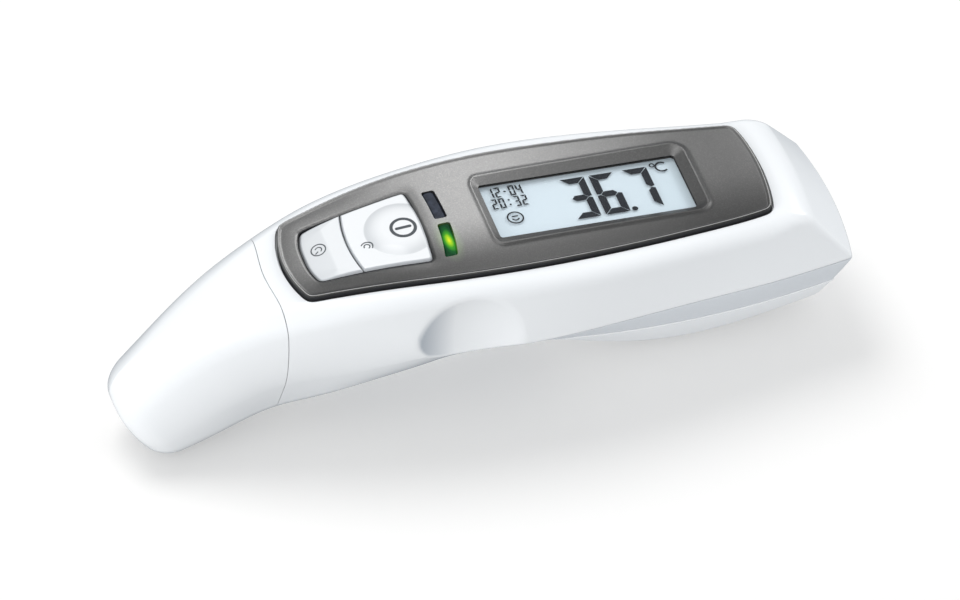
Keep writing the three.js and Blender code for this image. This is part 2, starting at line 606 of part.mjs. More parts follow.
// ---------- display stack, in the display frame ----------
// A rectangular frame; each rectangle is x range, y range, corner radius.
const frame = (outside, inside, z) =>
  prism(roundRect(...outside, 1), z, [roundRect(...inside, 1)]);

add('display_window', box([-20.2, 20.4], [-8.7, 8.7], [-0.15, 0.35]),
  MATERIALS.displayWindow, display);
add('window_gasket',
  frame([[-19.9, 20.1], [-8.5, 8.5], 0.5], [[-18.9, 19.0], [-7.2, 7.2], 0.5], [-0.45, -0.25]),
  MATERIALS.windowGasket, display);
add('lcd_glass', box([-19.9, 20.1], [-8.6, 8.6], [-2.35, -0.55]), MATERIALS.lcdGlass, display);
add('lcd_backlight', box([-19.6, 19.8], [-6.2, 8.4], [-4.2, -2.5]),
  MATERIALS.backlight, display);
add('lcd_frame',
  frame([[-21.4, 21.6], [-9.6, 9.6], 0.8], [[-20.3, 20.5], [-8.9, 8.9], 0.4], [-7.95, -1.7]),
  MATERIALS.lcdFrame, display);
add('zebra_strip', box([-18.5, 18.7], [-8.5, -6.9], [-7.9, -2.5]), MATERIALS.zebra, display);

// ---------- buttons, pad, switches ----------
const BUTTON_PROUD = 0.75;
const EAR_DOME = { x: -35.6, radius: 6.6, rise: 0.75 };
const buttonFace = column(inset(buttonOutline, 0.25));

// The buttons meet at a bowed line; this is its side towards farX.
function joinSide(shift, farX) {
  const line = [];
  for (let k = -4; k <= 4; k++) {
    const y = k * 2.6;
    line.push([-45.76 + 1.02 * (y / 7.8) ** 2 + shift, y]);
  }
  return column([...line, [farX, 12], [farX, -12]]);
}

function earButton() {
  const { x: domeX, radius, rise } = EAR_DOME;
  const top = (x, y) => topZ(x, y) + BUTTON_PROUD
    + rise * Math.max(0, 1 - (((x - domeX) / radius) ** 2 + (y / radius) ** 2)) ** 0.8;
  const body = slab([-48, -29], 12, [-11, 11], 12, (x, y) => topZ(x, y) - 1.5, top);
  const stem = cylinderZ([-37.6, 0], [34.75, 36.9], 2.2, 16);
  return join(common(buttonFace, joinSide(0.15, -25), body), stem);
}

function foreheadButton() {
  // falls away towards the nose
  const top = (x, y) => topZ(x, y) + BUTTON_PROUD - 0.16 * Math.max(0, -49.2 - x);
  const body = slab([-56, -43], 8, [-11, 11], 4, (x, y) => topZ(x, y) - 1.2, top);
  return common(buttonFace, joinSide(-0.15, -60), body);
}

// A range of heights above the board face.
const onBoard = (low, high) => [BOARD_TOP + low, BOARD_TOP + high];

// A sheet with a hollow dome over each switch.
function buttonPad() {
  let pad = solid(box([-49.6, -30.6], [-7.4, 7.4], onBoard(0.1, 0.6)));
  for (const x of [SWITCH_X.forehead, SWITCH_X.ear]) {
    pad = join(pad, cylinderZ([x, 0], onBoard(0.1, 2.55), 3.9, 20, 3.6));
    pad = cut(pad, cylinderZ([x, 0], onBoard(-1, 2.1), 3.3, 20));
  }
  return pad;
}

const tactSwitch = (x) => join(box([x - 2.2, x + 2.2], [-2.2, 2.2], onBoard(0, 1.4)),
  cylinderZ([x, 0], onBoard(1, 1.8), 1.0, 12));

add('ear_button', earButton(), MATERIALS.button);
add('forehead_button', foreheadButton(), MATERIALS.button);
add('button_pad', buttonPad(), MATERIALS.pad, display);
add('tact_switch_ear', tactSwitch(SWITCH_X.ear), MATERIALS.tactSwitch, display);
add('tact_switch_forehead', tactSwitch(SWITCH_X.forehead), MATERIALS.tactSwitch, display);

// ---------- board and what sits on it ----------
const mainBoard = () => cut(
  prism(roundRect([-51.0, 29.8], [-12.0, 12.0], 1.2, 2), onBoard(-BOARD_THICKNESS, -0.05)),
  cylinderZ([-24.5, 9.6], [-12, -5], 1.2, 10),
  cylinderZ([26.8, 0], [-12, -5], 1.2, 10));
const buzzer = () => cut(cylinderZ([-30, 3.2], onBoard(-4.6, -1.4), 5.6, 24),
  cylinderZ([-30, 3.2], onBoard(-6, -4.0), 1.0, 10));
const led = (y) => box([-28.9, -27.3], [y - 1.4, y + 1.4], onBoard(0, 0.9));

add('main_pcb', mainBoard(), MATERIALS.board, display);
add('microcontroller', box([2, 11], [-4.5, 4.5], onBoard(-2.95, -1.4)),
  MATERIALS.chip, display);
add('buzzer', buzzer(), MATERIALS.buzzer, display);
add('led_red', led(4.6), MATERIALS.redLed, display);
add('led_green', led(-4.6), MATERIALS.greenLed, display);
add('sensor_connector', box([-49.4, -46.4], [-11.0, -8.0], onBoard(0, 1.5)),
  MATERIALS.connector, display);

// ---------- ear nose; local X = 0 at the housing end, the tip at X = -25.4 ----------
// Profiles: radius, x
const CONE_PROFILE = [
  [0, -25.4], [4.1, -25.4], [4.55, -25.0], [4.95, -23.6], [5.55, -17], [6.4, -10],
  [7.4, -4], [7.8, -0.5], [7.8, 1.0], [0, 1.0]];
const BORE_PROFILE = [
  [0, -27], [3.05, -27], [3.05, -24.4], [3.95, -24.4], [3.95, -11], [5.4, -4], [5.4, 8], [0, 8]];
const SLEEVE_PROFILE = [
  [3.0, -24.1], [3.75, -24.1], [3.75, -13.0], [3.0, -13.0], [3.0, -24.1]];
const CABLE_PATH = [
  [-77.6, 0, 12.6], [-72.0, 0, 15.0], [-66, -1.2, 17.6], [-60.5, -2.8, 20.8],
  [-56.5, -7.5, 26.5], [-54.3, -9.2, 31.6], [-52.4, -9.5, 33.1], [-50.15, -9.5, 33.3]];

function probeHousing() {
  const rootX = -60.3;
  const spigot = common(formSolid(-2.5, { ...NOSE_END, steps: 18 }),
    box([-64.6, rootX], [-30, 30], [-10, 60]));
  const cone = common(latheX(CONE_PROFILE, 28).applyMatrix4(noseFrame),
    box([-120, rootX], [-30, 30], [-10, 60]));
  return cut(join(spigot, cone),
    latheX(BORE_PROFILE, 28).applyMatrix4(noseFrame),
    cylinderX([-66, -60], NOSE_SCREW_Z.upper, 1.25, 12),
    cylinderX([-66, -60], NOSE_SCREW_Z.lower, 1.25, 12));
}

const probeSeal = () =>
  new THREE.TorusGeometry(7.05, 0.5, 8, 24).rotateY(Math.PI / 2).translate(-10.5, 0, 0);
const thermopile = () =>
  join(cylinderX([-21.6, -18.0], 0, 2.3, 20), cylinderX([-18.4, -17.8], 0, 2.75, 20));
const cablePath = new THREE.CatmullRomCurve3(CABLE_PATH.map((p) => new THREE.Vector3(...p)));

add('probe_housing', probeHousing(), MATERIALS.probeHousing);
add('probe_seal', probeSeal(), MATERIALS.probeSeal, nose);
add('sensor_sleeve', latheX(SLEEVE_PROFILE, 24), MATERIALS.sleeve, nose);
add('sensor_window', cylinderX([-25.1, -24.6], 0, 2.85, 24), MATERIALS.sensorWindow, nose);
add('thermopile_sensor', thermopile(), MATERIALS.sensor, nose);
add('sensor_cable', roundWire(0.7, 6, cablePath, 20), MATERIALS.cable);

// ---------- cells and contacts ----------
// The positive end points along `direction`, +1 or -1 in X.
function cell(startX, direction, y) {
  const endX = startX + direction * CELL.length;
  const range = (a, b) => [Math.min(a, b), Math.max(a, b)];
  const button = range(endX - 0.5 * direction, endX + direction);
  const body = join(cylinderX(range(startX, endX), 0, CELL.radius, 28),
    cylinderX(button, 0, 1.9, 16));
  return geometryOf(body).translate(0, y, CELL.z);
}

// A conical coil along X, wide at x0.
class Coil extends THREE.Curve {
  constructor(x0, x1) {
    super();
    this.x0 = x0;
    this.x1 = x1;
  }

  getPoint(t, target = new THREE.Vector3()) {
    const [wide, narrow, turns] = [3.4, 1.9, 2.6];
    const angle = 2 * Math.PI * turns * t;
    const radius = wide + (narrow - wide) * t;
    const x = this.x0 + (this.x1 - this.x0) * t;
    return target.set(x, radius * Math.cos(angle), radius * Math.sin(angle));
  }
}
const spring = (x0, x1, y) => roundWire(0.22, 4, new Coil(x0, x1), 34).translate(0, y, CELL.z);
const endContact = (y) => box([39.05, 39.4], y, [12.8, 20.6]);
const bridge = box([-9.2, -8.98], [-8.4, 8.4], [13.2, 20.6]);

add('battery_1', cell(-5.6, 1, CELL.y), MATERIALS.cell);
add('battery_2', cell(35.6, -1, -CELL.y), MATERIALS.cell);
add('contact_positive', endContact([1.5, 8.6]), MATERIALS.steel);
add('contact_bridge', bridge, MATERIALS.steel);
add('contact_spring_bridge', spring(-8.8, -5.95, CELL.y), MATERIALS.steel);
add('contact_spring_negative', spring(38.75, 35.95, -CELL.y), MATERIALS.steel);
add('contact_negative', endContact([-8.6, -1.5]), MATERIALS.steel);

// ---------- screws ----------
// Cross-slotted, with the head at Z = 0 and the point towards +Z.
function screw(shank, length) {
  const head = 1.6;
  const slot = [-0.25, 0.25];
  const across = [-head * 1.2, head * 1.2];
  const profile = [[0, 0], [head * 0.8, 0], [head, 0.35], [head, 1.3], [shank, 1.3],
    [shank, length - 0.6], [0, length]];
  return cut(lathe(profile, 14).rotateX(Math.PI / 2),
    box(across, slot, [-1, 0.55]),
    box(slot, across, [-1, 0.55]));
}

[HOUSING_SCREW.y, -HOUSING_SCREW.y].forEach((y, i) => {
  const mesh = add(`housing_screw_${i + 1}`, screw(1.0, 12.0), MATERIALS.steel);
  mesh.position.set(HOUSING_SCREW.x, y, 18.55);
});
[NOSE_SCREW_Z.upper, NOSE_SCREW_Z.lower].forEach((z, i) => {
  const mesh = add(`probe_screw_${i + 1}`, screw(0.95, 8.6), MATERIALS.steel);
  mesh.position.set(-66.1, 0, z);
  mesh.rotation.y = Math.PI / 2;
});

export default thermometer;
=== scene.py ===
import math

import bpy
import numpy as np
from mathutils import Matrix, Vector


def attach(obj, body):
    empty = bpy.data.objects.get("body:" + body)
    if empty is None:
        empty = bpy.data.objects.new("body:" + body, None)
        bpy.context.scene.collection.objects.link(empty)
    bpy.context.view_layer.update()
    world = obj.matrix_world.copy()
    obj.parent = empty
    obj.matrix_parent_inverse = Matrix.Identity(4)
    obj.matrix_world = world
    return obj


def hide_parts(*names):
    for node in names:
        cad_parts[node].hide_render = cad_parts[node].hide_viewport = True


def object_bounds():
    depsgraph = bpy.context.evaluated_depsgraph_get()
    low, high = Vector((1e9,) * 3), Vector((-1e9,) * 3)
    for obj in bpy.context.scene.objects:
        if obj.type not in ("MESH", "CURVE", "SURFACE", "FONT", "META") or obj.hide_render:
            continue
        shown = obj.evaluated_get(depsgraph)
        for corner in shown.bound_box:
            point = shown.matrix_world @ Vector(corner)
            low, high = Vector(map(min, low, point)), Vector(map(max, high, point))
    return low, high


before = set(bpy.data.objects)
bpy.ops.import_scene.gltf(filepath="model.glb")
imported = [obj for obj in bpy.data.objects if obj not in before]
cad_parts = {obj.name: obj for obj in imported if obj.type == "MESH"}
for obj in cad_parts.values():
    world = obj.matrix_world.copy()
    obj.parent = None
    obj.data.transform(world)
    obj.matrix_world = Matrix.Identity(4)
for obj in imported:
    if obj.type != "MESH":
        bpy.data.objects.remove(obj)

CAD_LO, CAD_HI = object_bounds()

# ------------------------------------------------------------------ shape data, mm
# Same form as the CAD part. X = 0 here is the middle of the display; SHIFT moves it to the frame's origin.
SHIFT = 21.709
Z0 = 35.94
WALL, DOOR_WALL, CAP_WALL = 2.0, 1.5, 1.8
GAP = 0.2
SEAM_X = -61.5
TILT = math.radians(5)
PROUD = 0.92
DOOR_X = -9.3
STATIONS = np.array([
    [-102.37, -31.29, 2.08, -30.14, 5.60, -35.53, 11.04, -41.84, 6.70, 6.14, 8.19, 8.19, 5.12],
    [-92.13, -19.96, 3.66, -23.89, 8.85, -28.42, 11.47, -38.90, 7.45, 5.77, 8.20, 8.18, 5.12],
    [-81.90, -10.91, 5.77, -19.17, 11.51, -22.73, 12.12, -36.62, 7.57, 5.32, 8.19, 8.19, 5.12],
    [-71.66, -4.69, 8.34, -15.99, 13.61, -18.64, 13.04, -35.02, 7.08, 4.75, 8.04, 8.18, 5.12],
    [-61.42, -1.18, 11.41, -14.21, 15.21, -16.36, 14.18, -33.95, 6.15, 4.02, 7.32, 7.89, 5.12],
    [-51.19, 0.65, 14.63, -13.53, 16.34, -15.83, 15.63, -31.75, 5.12, 3.44, 5.43, 7.14, 5.12],
    [-40.95, 1.71, 16.54, -13.72, 17.29, -16.17, 16.72, -29.87, 4.36, 3.15, 2.75, 5.80, 5.09],
    [-30.71, 1.95, 17.89, -14.33, 18.24, -16.63, 16.69, -28.45, 3.82, 3.06, 0.96, 3.96, 4.88],
    [-15.36, 1.37, 19.42, -14.33, 19.15, -18.52, 15.42, -27.98, 3.54, 3.08, 0.41, 1.81, 4.34],
    [0.00, 0.28, 19.07, -14.33, 18.88, -21.37, 14.50, -33.34, 4.58, 3.01, 0.42, 1.06, 4.07],
    [15.36, -0.85, 17.16, -14.33, 18.19, -23.43, 13.68, -36.50, 5.49, 2.87, 0.41, 1.02, 4.09],
    [30.71, -1.92, 14.76, -14.33, 17.61, -23.95, 12.90, -35.36, 6.01, 2.76, 0.41, 1.02, 4.12],
    [40.95, -2.00, 12.83, -14.33, 16.65, -23.34, 12.34, -33.19, 6.38, 2.71, 0.41, 0.98, 4.11],
    [51.19, -2.40, 10.70, -14.33, 15.44, -22.25, 11.85, -30.87, 6.84, 2.66, 0.41, 0.92, 4.09]])
CROWN = 0.553
END_X, END_UP, END_LOW, END_BOW = 47.98, 0.803, 0.312, 0.00653
TIP_X, TIP_Z, TIP_A, TIP_R = -88.41, -28.65, math.radians(29.42), 5.13
GRIP_X, GRIP_Z, GRIP_Y, GRIP_R, GRIP_SX, GRIP_SZ = -29.7, -13.3, 39.3, 24.0, 1.14, 0.854
BEZEL = [(-57.96, 0.00), (-57.80, 2.56), (-57.34, 5.32), (-56.62, 7.78), (-56.16, 8.91), (-55.68, 9.57),
         (-54.90, 9.98), (-51.19, 10.80), (-45.55, 11.93), (-39.62, 13.00), (-31.22, 14.23), (-22.83, 14.95),
         (-16.38, 15.20), (-10.24, 15.20), (0.00, 14.84), (9.52, 14.23), (17.91, 13.41), (26.00, 12.44), (29.69, 11.87),
         (30.92, 11.57), (31.73, 10.85), (32.14, 9.83), (32.66, 7.17), (33.01, 3.89), (33.17, 0.00)]
BUTTONS = [(-54.15, 0.00), (-54.00, 3.07), (-53.44, 5.43), (-53.03, 6.35), (-52.41, 6.81), (-51.39, 7.01),
           (-49.14, 7.27), (-44.74, 7.78), (-38.90, 8.50), (-33.78, 9.16), (-32.66, 9.21), (-32.09, 8.80), (-31.84, 7.98),
           (-31.53, 4.09), (-31.43, 0.00)]
PART = [(-13.5, 21.61), (-15.5, 20.8), (-17.5, 18.4), (-20, 15.2), (-23, 12.6), (-27, 11.2), (-31, 10.6), (-35, 10.3), (-39, 9.8),
        (-42, 9.2), (-45, 8.3), (-48, 7.1), (-50.3, 5.2), (-52, 2.6), (-53, -1), (-54, -6), (-54, -30)]


class Spline:
    """Natural cubic spline, as in the CAD part."""

    def __init__(self, xs, ys):
        n = len(xs)
        A, r = np.eye(n), np.zeros(n)
        h = np.diff(xs)
        for i in range(1, n - 1):
            A[i, i - 1], A[i, i], A[i, i + 1] = h[i - 1], 2 * (h[i - 1] + h[i]), h[i]
            r[i] = 6 * ((ys[i + 1] - ys[i]) / h[i] - (ys[i] - ys[i - 1]) / h[i - 1])
        self.xs, self.ys, self.m = np.array(xs, float), np.array(ys, float), np.linalg.solve(A, r)

    def __call__(self, x):
        x = np.asarray(x, float)
        i = np.clip(np.searchsorted(self.xs, x, side="right") - 1, 0, len(self.xs) - 2)
        h = self.xs[i + 1] - self.xs[i]
        a, b = (self.xs[i + 1] - x) / h, (x - self.xs[i]) / h
        return (a * self.ys[i] + b * self.ys[i + 1]
                + ((a ** 3 - a) * self.m[i] + (b ** 3 - b) * self.m[i + 1]) * h * h / 6)


COL = [Spline(STATIONS[:, 0], STATIONS[:, k + 1]) for k in range(12)]
clampx = lambda x: np.clip(x, -102.37, 51.19)


def rmax(a, b, r):
    return np.minimum(np.maximum(a, b), -r) + np.hypot(np.maximum(a + r, 0), np.maximum(b + r, 0))


def form(x, y, z, cols=None):
    """Below zero inside the outer shape, about the distance in mm."""
    Y, Z = np.abs(y), z - Z0
    xc = clampx(x)
    zt, a, zp, w, zr, r, zb, b, rs, rp, rr, rb = cols if cols is not None else [c(xc) for c in COL]

    def line(y0, z0, y1, z1):
        return ((Y - y0) * (z0 - z1) + (Z - z0) * (y1 - y0)) / np.hypot(y1 - y0, z1 - z0)

    f = rmax(line(a, zt, w, zp), line(w, zp, r, zr), rp)
    f = rmax(f, line(r, zr, b, zb), rr)
    x0, x1 = clampx(xc - 0.5), clampx(xc + 0.5)
    dt = (COL[0](x1) - COL[0](x0)) / (x1 - x0)
    db = (COL[6](x1) - COL[6](x0)) / (x1 - x0)
    top = (Z - (zt - CROWN * (Y / np.maximum(a, 1)) ** 2)) / np.sqrt(1 + dt * dt)
    bot = (zb - Z) / np.sqrt(1 + db * db)
    bow = END_BOW * Y * Y
    eu = (x - (END_X - bow - (Z + 14.33) * END_UP)) / math.sqrt(1 + END_UP ** 2)
    el = (x - (END_X - bow + (Z + 14.33) * END_LOW)) / math.sqrt(1 + END_LOW ** 2)
    f = rmax(f, bot, rb)
    f = rmax(f, el, 0.92)
    f = rmax(f, rmax(top, eu, 2.6), rs * np.clip((47.1 - x) / 16.4, 0.3, 1))
    f = rmax(f, -((x - TIP_X) * math.cos(TIP_A) + (Z - TIP_Z) * math.sin(TIP_A)), TIP_R)
    dish = np.sqrt(((x - GRIP_X) * GRIP_SX) ** 2 + (Y - GRIP_Y) ** 2 + ((Z - GRIP_Z) * GRIP_SZ) ** 2) - GRIP_R
    f = rmax(f, -dish, 0.5)
    return np.maximum(f, -z)


def grad(p, e=0.02):
    x, y, z = p.T
    g = np.stack([form(x + e, y, z) - form(x - e, y, z), form(x, y + e, z) - form(x, y - e, z),
                  form(x, y, z + e) - form(x, y, z - e)], 1)
    return g / np.maximum(np.linalg.norm(g, axis=1, keepdims=True), 1e-9)


def topz(x, y):
    xc = clampx(x)
    return Z0 + COL[0](xc) - CROWN * (y / COL[1](xc)) ** 2


# ------------------------------------------------------------------ mesh helpers, all in mm until finish_piece
def new_mesh(verts, faces, name="m"):
    """verts (n, 3); faces: list of arrays, each (k, corners)."""
    me = bpy.data.meshes.new(name)
    verts = np.asarray(verts, np.float32)
    me.vertices.add(len(verts))
    me.vertices.foreach_set("co", verts.ravel())
    groups = [np.asarray(f, np.int32) for f in faces if len(f)]
    loops = np.concatenate([g.ravel() for g in groups])
    start, at = [], 0
    for g in groups:
        start.append(at + np.arange(len(g)) * g.shape[1])
        at += g.size
    me.loops.add(len(loops))
    me.loops.foreach_set("vertex_index", loops)
    me.polygons.add(sum(len(g) for g in groups))
    me.polygons.foreach_set("loop_start", np.concatenate(start).astype(np.int32))
    me.update(calc_edges=True)
    return me


def grid_solid(rings, pole_a, pole_b):
    """rings (m, n, 3) closed round, with a pole point at each end."""
    m, n, _ = rings.shape
    v = np.vstack([pole_a, rings.reshape(-1, 3), pole_b])
    i, j = np.meshgrid(np.arange(m - 1), np.arange(n), indexing="ij")
    jn = (j + 1) % n
    a, b, c, d = 1 + i * n + j, 1 + i * n + jn, 1 + (i + 1) * n + jn, 1 + (i + 1) * n + j
    quads = np.stack([a, b, c, d], -1).reshape(-1, 4)
    k = np.arange(n)
    kn = (k + 1) % n
    tri = np.vstack([np.stack([np.zeros(n, int), 1 + kn, 1 + k], 1),
                     np.stack([np.full(n, 1 + m * n), 1 + (m - 1) * n + k, 1 + (m - 1) * n + kn], 1)])
    return new_mesh(v, [quads, tri])


def form_solid(off, nx, fan, split, xr=34.8, xl=-77.8):
    xs = np.concatenate([np.full(fan, xr), np.linspace(xr, xl, nx + 1), np.full(fan, xl)])
    al = np.radians(np.concatenate([90 * (1 - np.arange(fan) / fan), np.zeros(nx + 1), -90 * np.arange(1, fan + 1) / fan]))
    sec = [c(clampx(xs)) for c in COL]
    zc = (sec[0] + sec[6]) / 2
    keys = [np.zeros_like(xs), np.arctan2(sec[1], sec[0] - zc), np.arctan2(sec[3], sec[2] - zc),
            np.arctan2(sec[5], sec[4] - zc), np.arctan2(sec[7], sec[6] - zc), np.full_like(xs, math.pi)]
    phi = [keys[k] + (keys[k + 1] - keys[k]) * j / split[k] for k in range(5) for j in range(split[k])]
    phi = np.stack(phi + [keys[5]] + [-p for p in phi[1:][::-1]], 1)
    ca, sa = np.cos(al)[:, None], np.sin(al)[:, None]
    D = np.stack([np.broadcast_to(sa, phi.shape), ca * np.sin(phi), ca * np.cos(phi)], -1).reshape(-1, 3)
    C = np.repeat(np.stack([xs, np.zeros_like(xs), zc + Z0], 1), phi.shape[1], 0)
    lo, hi = np.zeros(len(C)), np.full(len(C), 60.0)
    for _ in range(30):
        m = (lo + hi) / 2
        p = C + D * m[:, None]
        ins = form(p[:, 0], p[:, 1], p[:, 2]) < off
        lo, hi = np.where(ins, m, lo), np.where(ins, hi, m)
    P = (C + D * lo[:, None]).reshape(len(xs), -1, 3)
    return grid_solid(P[1:-1], P[0, 0], P[-1, 0])


def prism(pts, z0, z1):
    pts = np.asarray(pts, float)
    x, y = pts.T
    if np.sum(x * np.roll(y, -1) - np.roll(x, -1) * y) < 0:
        pts = pts[::-1]
    n = len(pts)
    v = np.vstack([np.c_[pts, np.full(n, z0)], np.c_[pts, np.full(n, z1)]])
    k = np.arange(n)
    kn = (k + 1) % n
    return new_mesh(v, [np.stack([k, kn, kn + n, k + n], 1), k[::-1][None], (k + n)[None]])


def transform(me, M):
    me.transform(M)
    return me


def prism_y(pts, y0, y1):
    """Outline in X and Z, extruded along Y."""
    return transform(prism([(x, z) for x, z in pts], -y1, -y0), Matrix.Rotation(math.pi / 2, 4, "X"))


def box(x0, x1, y0, y1, z0, z1):
    return prism([(x0, y0), (x1, y0), (x1, y1), (x0, y1)], z0, z1)


def cyl(r, z0, z1, n=32, r1=None):
    t = 2 * math.pi * np.arange(n) / n
    me = prism(np.c_[np.cos(t), np.sin(t)] * r, z0, z1)
    if r1 is not None:
        for v in me.vertices[n:]:
            v.co.x *= r1 / r
            v.co.y *= r1 / r
    return me


def cyl_z(x, y, z0, z1, r, n=32):
    return transform(cyl(r, z0, z1, n), Matrix.Translation((x, y, 0)))


def cyl_x(x0, x1, y, z, r, n=32):
    return transform(cyl(r, x0, x1, n), Matrix.Translation((0, y, z)) @ Matrix.Rotation(math.pi / 2, 4, "Y"))


def slab(xs, ys, zb, zt):
    """A block between two height functions; zb may be a plain number for a flat underside."""
    X, Y = np.meshgrid(xs, ys, indexing="ij")
    n, m = X.shape
    top = np.stack([X, Y, zt(X, Y)], -1).reshape(-1, 3)
    i, j = np.meshgrid(np.arange(n - 1), np.arange(m - 1), indexing="ij")
    a, b, c, d = i * m + j, (i + 1) * m + j, (i + 1) * m + j + 1, i * m + j + 1
    q = np.stack([a, b, c, d], -1).reshape(-1, 4)
    rim = np.concatenate([np.arange(n) * m, (n - 1) * m + np.arange(1, m), np.arange(n - 2, -1, -1) * m + m - 1,
                          np.arange(m - 2, 0, -1)])
    if callable(zb):
        bot = np.stack([X, Y, zb(X, Y)], -1).reshape(-1, 3)
        N = n * m
        rn = np.roll(rim, -1)
        return new_mesh(np.vstack([top, bot]), [q, q[:, ::-1] + N, np.stack([rim, rim + N, rn + N, rn], 1)])
    N, R = n * m, len(rim)
    low = top[rim].copy()
    low[:, 2] = zb
    k = np.arange(R)
    kn = (k + 1) % R
    return new_mesh(np.vstack([top, low]), [q, np.stack([rim[k], N + k, N + kn, rim[kn]], 1), (N + k[::-1])[None]])


def boolean(a, b, op, keep=False):
    oa, ob = bpy.data.objects.new("tmp_a", a), bpy.data.objects.new("tmp_b", b)
    for o in (oa, ob):
        bpy.context.scene.collection.objects.link(o)
    m = oa.modifiers.new("b", "BOOLEAN")
    m.operation, m.object, m.solver = op, ob, "MANIFOLD"
    bpy.context.view_layer.update()
    me = bpy.data.meshes.new_from_object(oa.evaluated_get(bpy.context.evaluated_depsgraph_get()))
    bpy.data.objects.remove(oa)
    bpy.data.objects.remove(ob)
    if not len(me.polygons):
        raise RuntimeError("a boolean left nothing")
    return me


cut = lambda a, *bs: _fold(a, bs, "DIFFERENCE")
common = lambda a, *bs: _fold(a, bs, "INTERSECT")
join = lambda a, *bs: _fold(a, bs, "UNION")


def _fold(a, bs, op):
    for b in bs:
        a = boolean(a, b, op)
    return a


def arrays(me):
    v = np.zeros(len(me.vertices) * 3, np.float32)
    me.vertices.foreach_get("co", v)
    lv = np.zeros(len(me.loops), np.int32)
    me.loops.foreach_get("vertex_index", lv)
    ls, lt = np.zeros(len(me.polygons), np.int32), np.zeros(len(me.polygons), np.int32)
    me.polygons.foreach_get("loop_start", ls)
    me.polygons.foreach_get("loop_total", lt)
    fn = np.zeros(len(me.polygons) * 3, np.float32)
    me.polygons.foreach_get("normal", fn)
    face = np.repeat(np.arange(len(ls)), lt)
    return v.reshape(-1, 3).astype(float), lv, face, fn.reshape(-1, 3).astype(float)


def tidy(me):
    """Triangles, with points closer than 2 microns joined and slivers of no area removed."""
    import bmesh
    bm = bmesh.new()
    bm.from_mesh(me)
    bmesh.ops.triangulate(bm, faces=[f for f in bm.faces if len(f.verts) > 4])
    bmesh.ops.dissolve_degenerate(bm, dist=2e-3, edges=bm.edges)
    bmesh.ops.triangulate(bm, faces=[f for f in bm.faces if len(f.verts) > 4])
    bm.to_mesh(me)
    bm.free()
    me.update()
    return me


def set_normals(me, rules=(), angle=38):
    """Smooth shading: each rule gives (mask, normal) for points that lie on a known surface; the rest is smoothed by angle."""
    v, lv, face, fn = arrays(me)
    ln = fn[face].copy()
    done = np.zeros(len(lv), bool)
    for rule in rules:
        mask, nrm = rule(v)
        ok = mask[lv] & ~done & (np.einsum("ij,ij->i", nrm[lv], fn[face]) > 0.55)
        ln[ok] = nrm[lv[ok]]
        done |= ok
    rest = np.where(~done)[0]
    if len(rest):
        c = math.cos(math.radians(angle))
        order = rest[np.argsort(lv[rest], kind="stable")]
        vid = lv[order]
        cuts = np.flatnonzero(np.diff(vid)) + 1
        e1 = v[np.roll(lv, -1)] - v[lv]
        for g in np.split(order, cuts):
            if len(g) == 1:
                continue
            n = fn[face[g]]
            w = (n @ n.T) > c
            s = w @ n
            ln[g] = s / np.maximum(np.linalg.norm(s, axis=1, keepdims=True), 1e-9)
    me.polygons.foreach_set("use_smooth", np.ones(len(me.polygons), bool))
    me.normals_split_custom_set(ln.astype(np.float32))
    me.update()


def on_form(off=0.0, sign=1.0, tol=0.06):
    def rule(v):
        mask = np.abs(form(*v.T) - off) < tol
        n = np.zeros_like(v)
        n[mask] = grad(v[mask]) * sign
        return mask, n
    return rule


def on_height(H, tol=0.015, e=0.02):
    def rule(v):
        x, y, z = v.T
        mask = np.abs(H(x, y) - z) < tol
        n = np.zeros_like(v)
        xm, ym = x[mask], y[mask]
        n[mask, 0] = -(H(xm + e, ym) - H(xm - e, ym)) / (2 * e)
        n[mask, 1] = -(H(xm, ym + e) - H(xm, ym - e)) / (2 * e)
        n[mask, 2] = 1
        n[mask] /= np.linalg.norm(n[mask], axis=1, keepdims=True)
        return mask, n
    return rule


def finish_piece(me, name, body, nodes, material, rules=(), angle=38):
    me = tidy(me)
    set_normals(me, rules, angle)
    me.transform(Matrix.Scale(0.001, 4) @ Matrix.Translation((SHIFT, 0, 0)))
    me.name = name
    o = bpy.data.objects.new(name, me)
    bpy.context.scene.collection.objects.link(o)
    me.materials.clear()
    me.materials.append(material)
    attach(o, body)
    if nodes:
        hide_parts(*nodes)
    return o


# ------------------------------------------------------------------ plan outlines
def smooth_closed(pts, n=480):
    """Closed outline through the points, centripetal Catmull-Rom, evenly spaced."""
    P = np.asarray(pts, float)
    k = len(P)
    out = []
    for i in range(k):
        p0, p1, p2, p3 = P[(i - 1) % k], P[i], P[(i + 1) % k], P[(i + 2) % k]
        t0 = 0
        t1 = t0 + np.linalg.norm(p1 - p0) ** 0.5
        t2 = t1 + np.linalg.norm(p2 - p1) ** 0.5
        t3 = t2 + np.linalg.norm(p3 - p2) ** 0.5
        t = np.linspace(t1, t2, 24, endpoint=False)[:, None]
        a1 = (t1 - t) / (t1 - t0) * p0 + (t - t0) / (t1 - t0) * p1
        a2 = (t2 - t) / (t2 - t1) * p1 + (t - t1) / (t2 - t1) * p2
        a3 = (t3 - t) / (t3 - t2) * p2 + (t - t2) / (t3 - t2) * p3
        b1 = (t2 - t) / (t2 - t0) * a1 + (t - t0) / (t2 - t0) * a2
        b2 = (t3 - t) / (t3 - t1) * a2 + (t - t1) / (t3 - t1) * a3
        out.append((t2 - t) / (t2 - t1) * b1 + (t - t1) / (t2 - t1) * b2)
    q = np.vstack(out)
    d = np.r_[0, np.cumsum(np.linalg.norm(np.diff(np.vstack([q, q[:1]]), axis=0), axis=1))]
    s = np.linspace(0, d[-1], n, endpoint=False)
    qq = np.vstack([q, q[:1]])
    return np.c_[np.interp(s, d, qq[:, 0]), np.interp(s, d, qq[:, 1])]


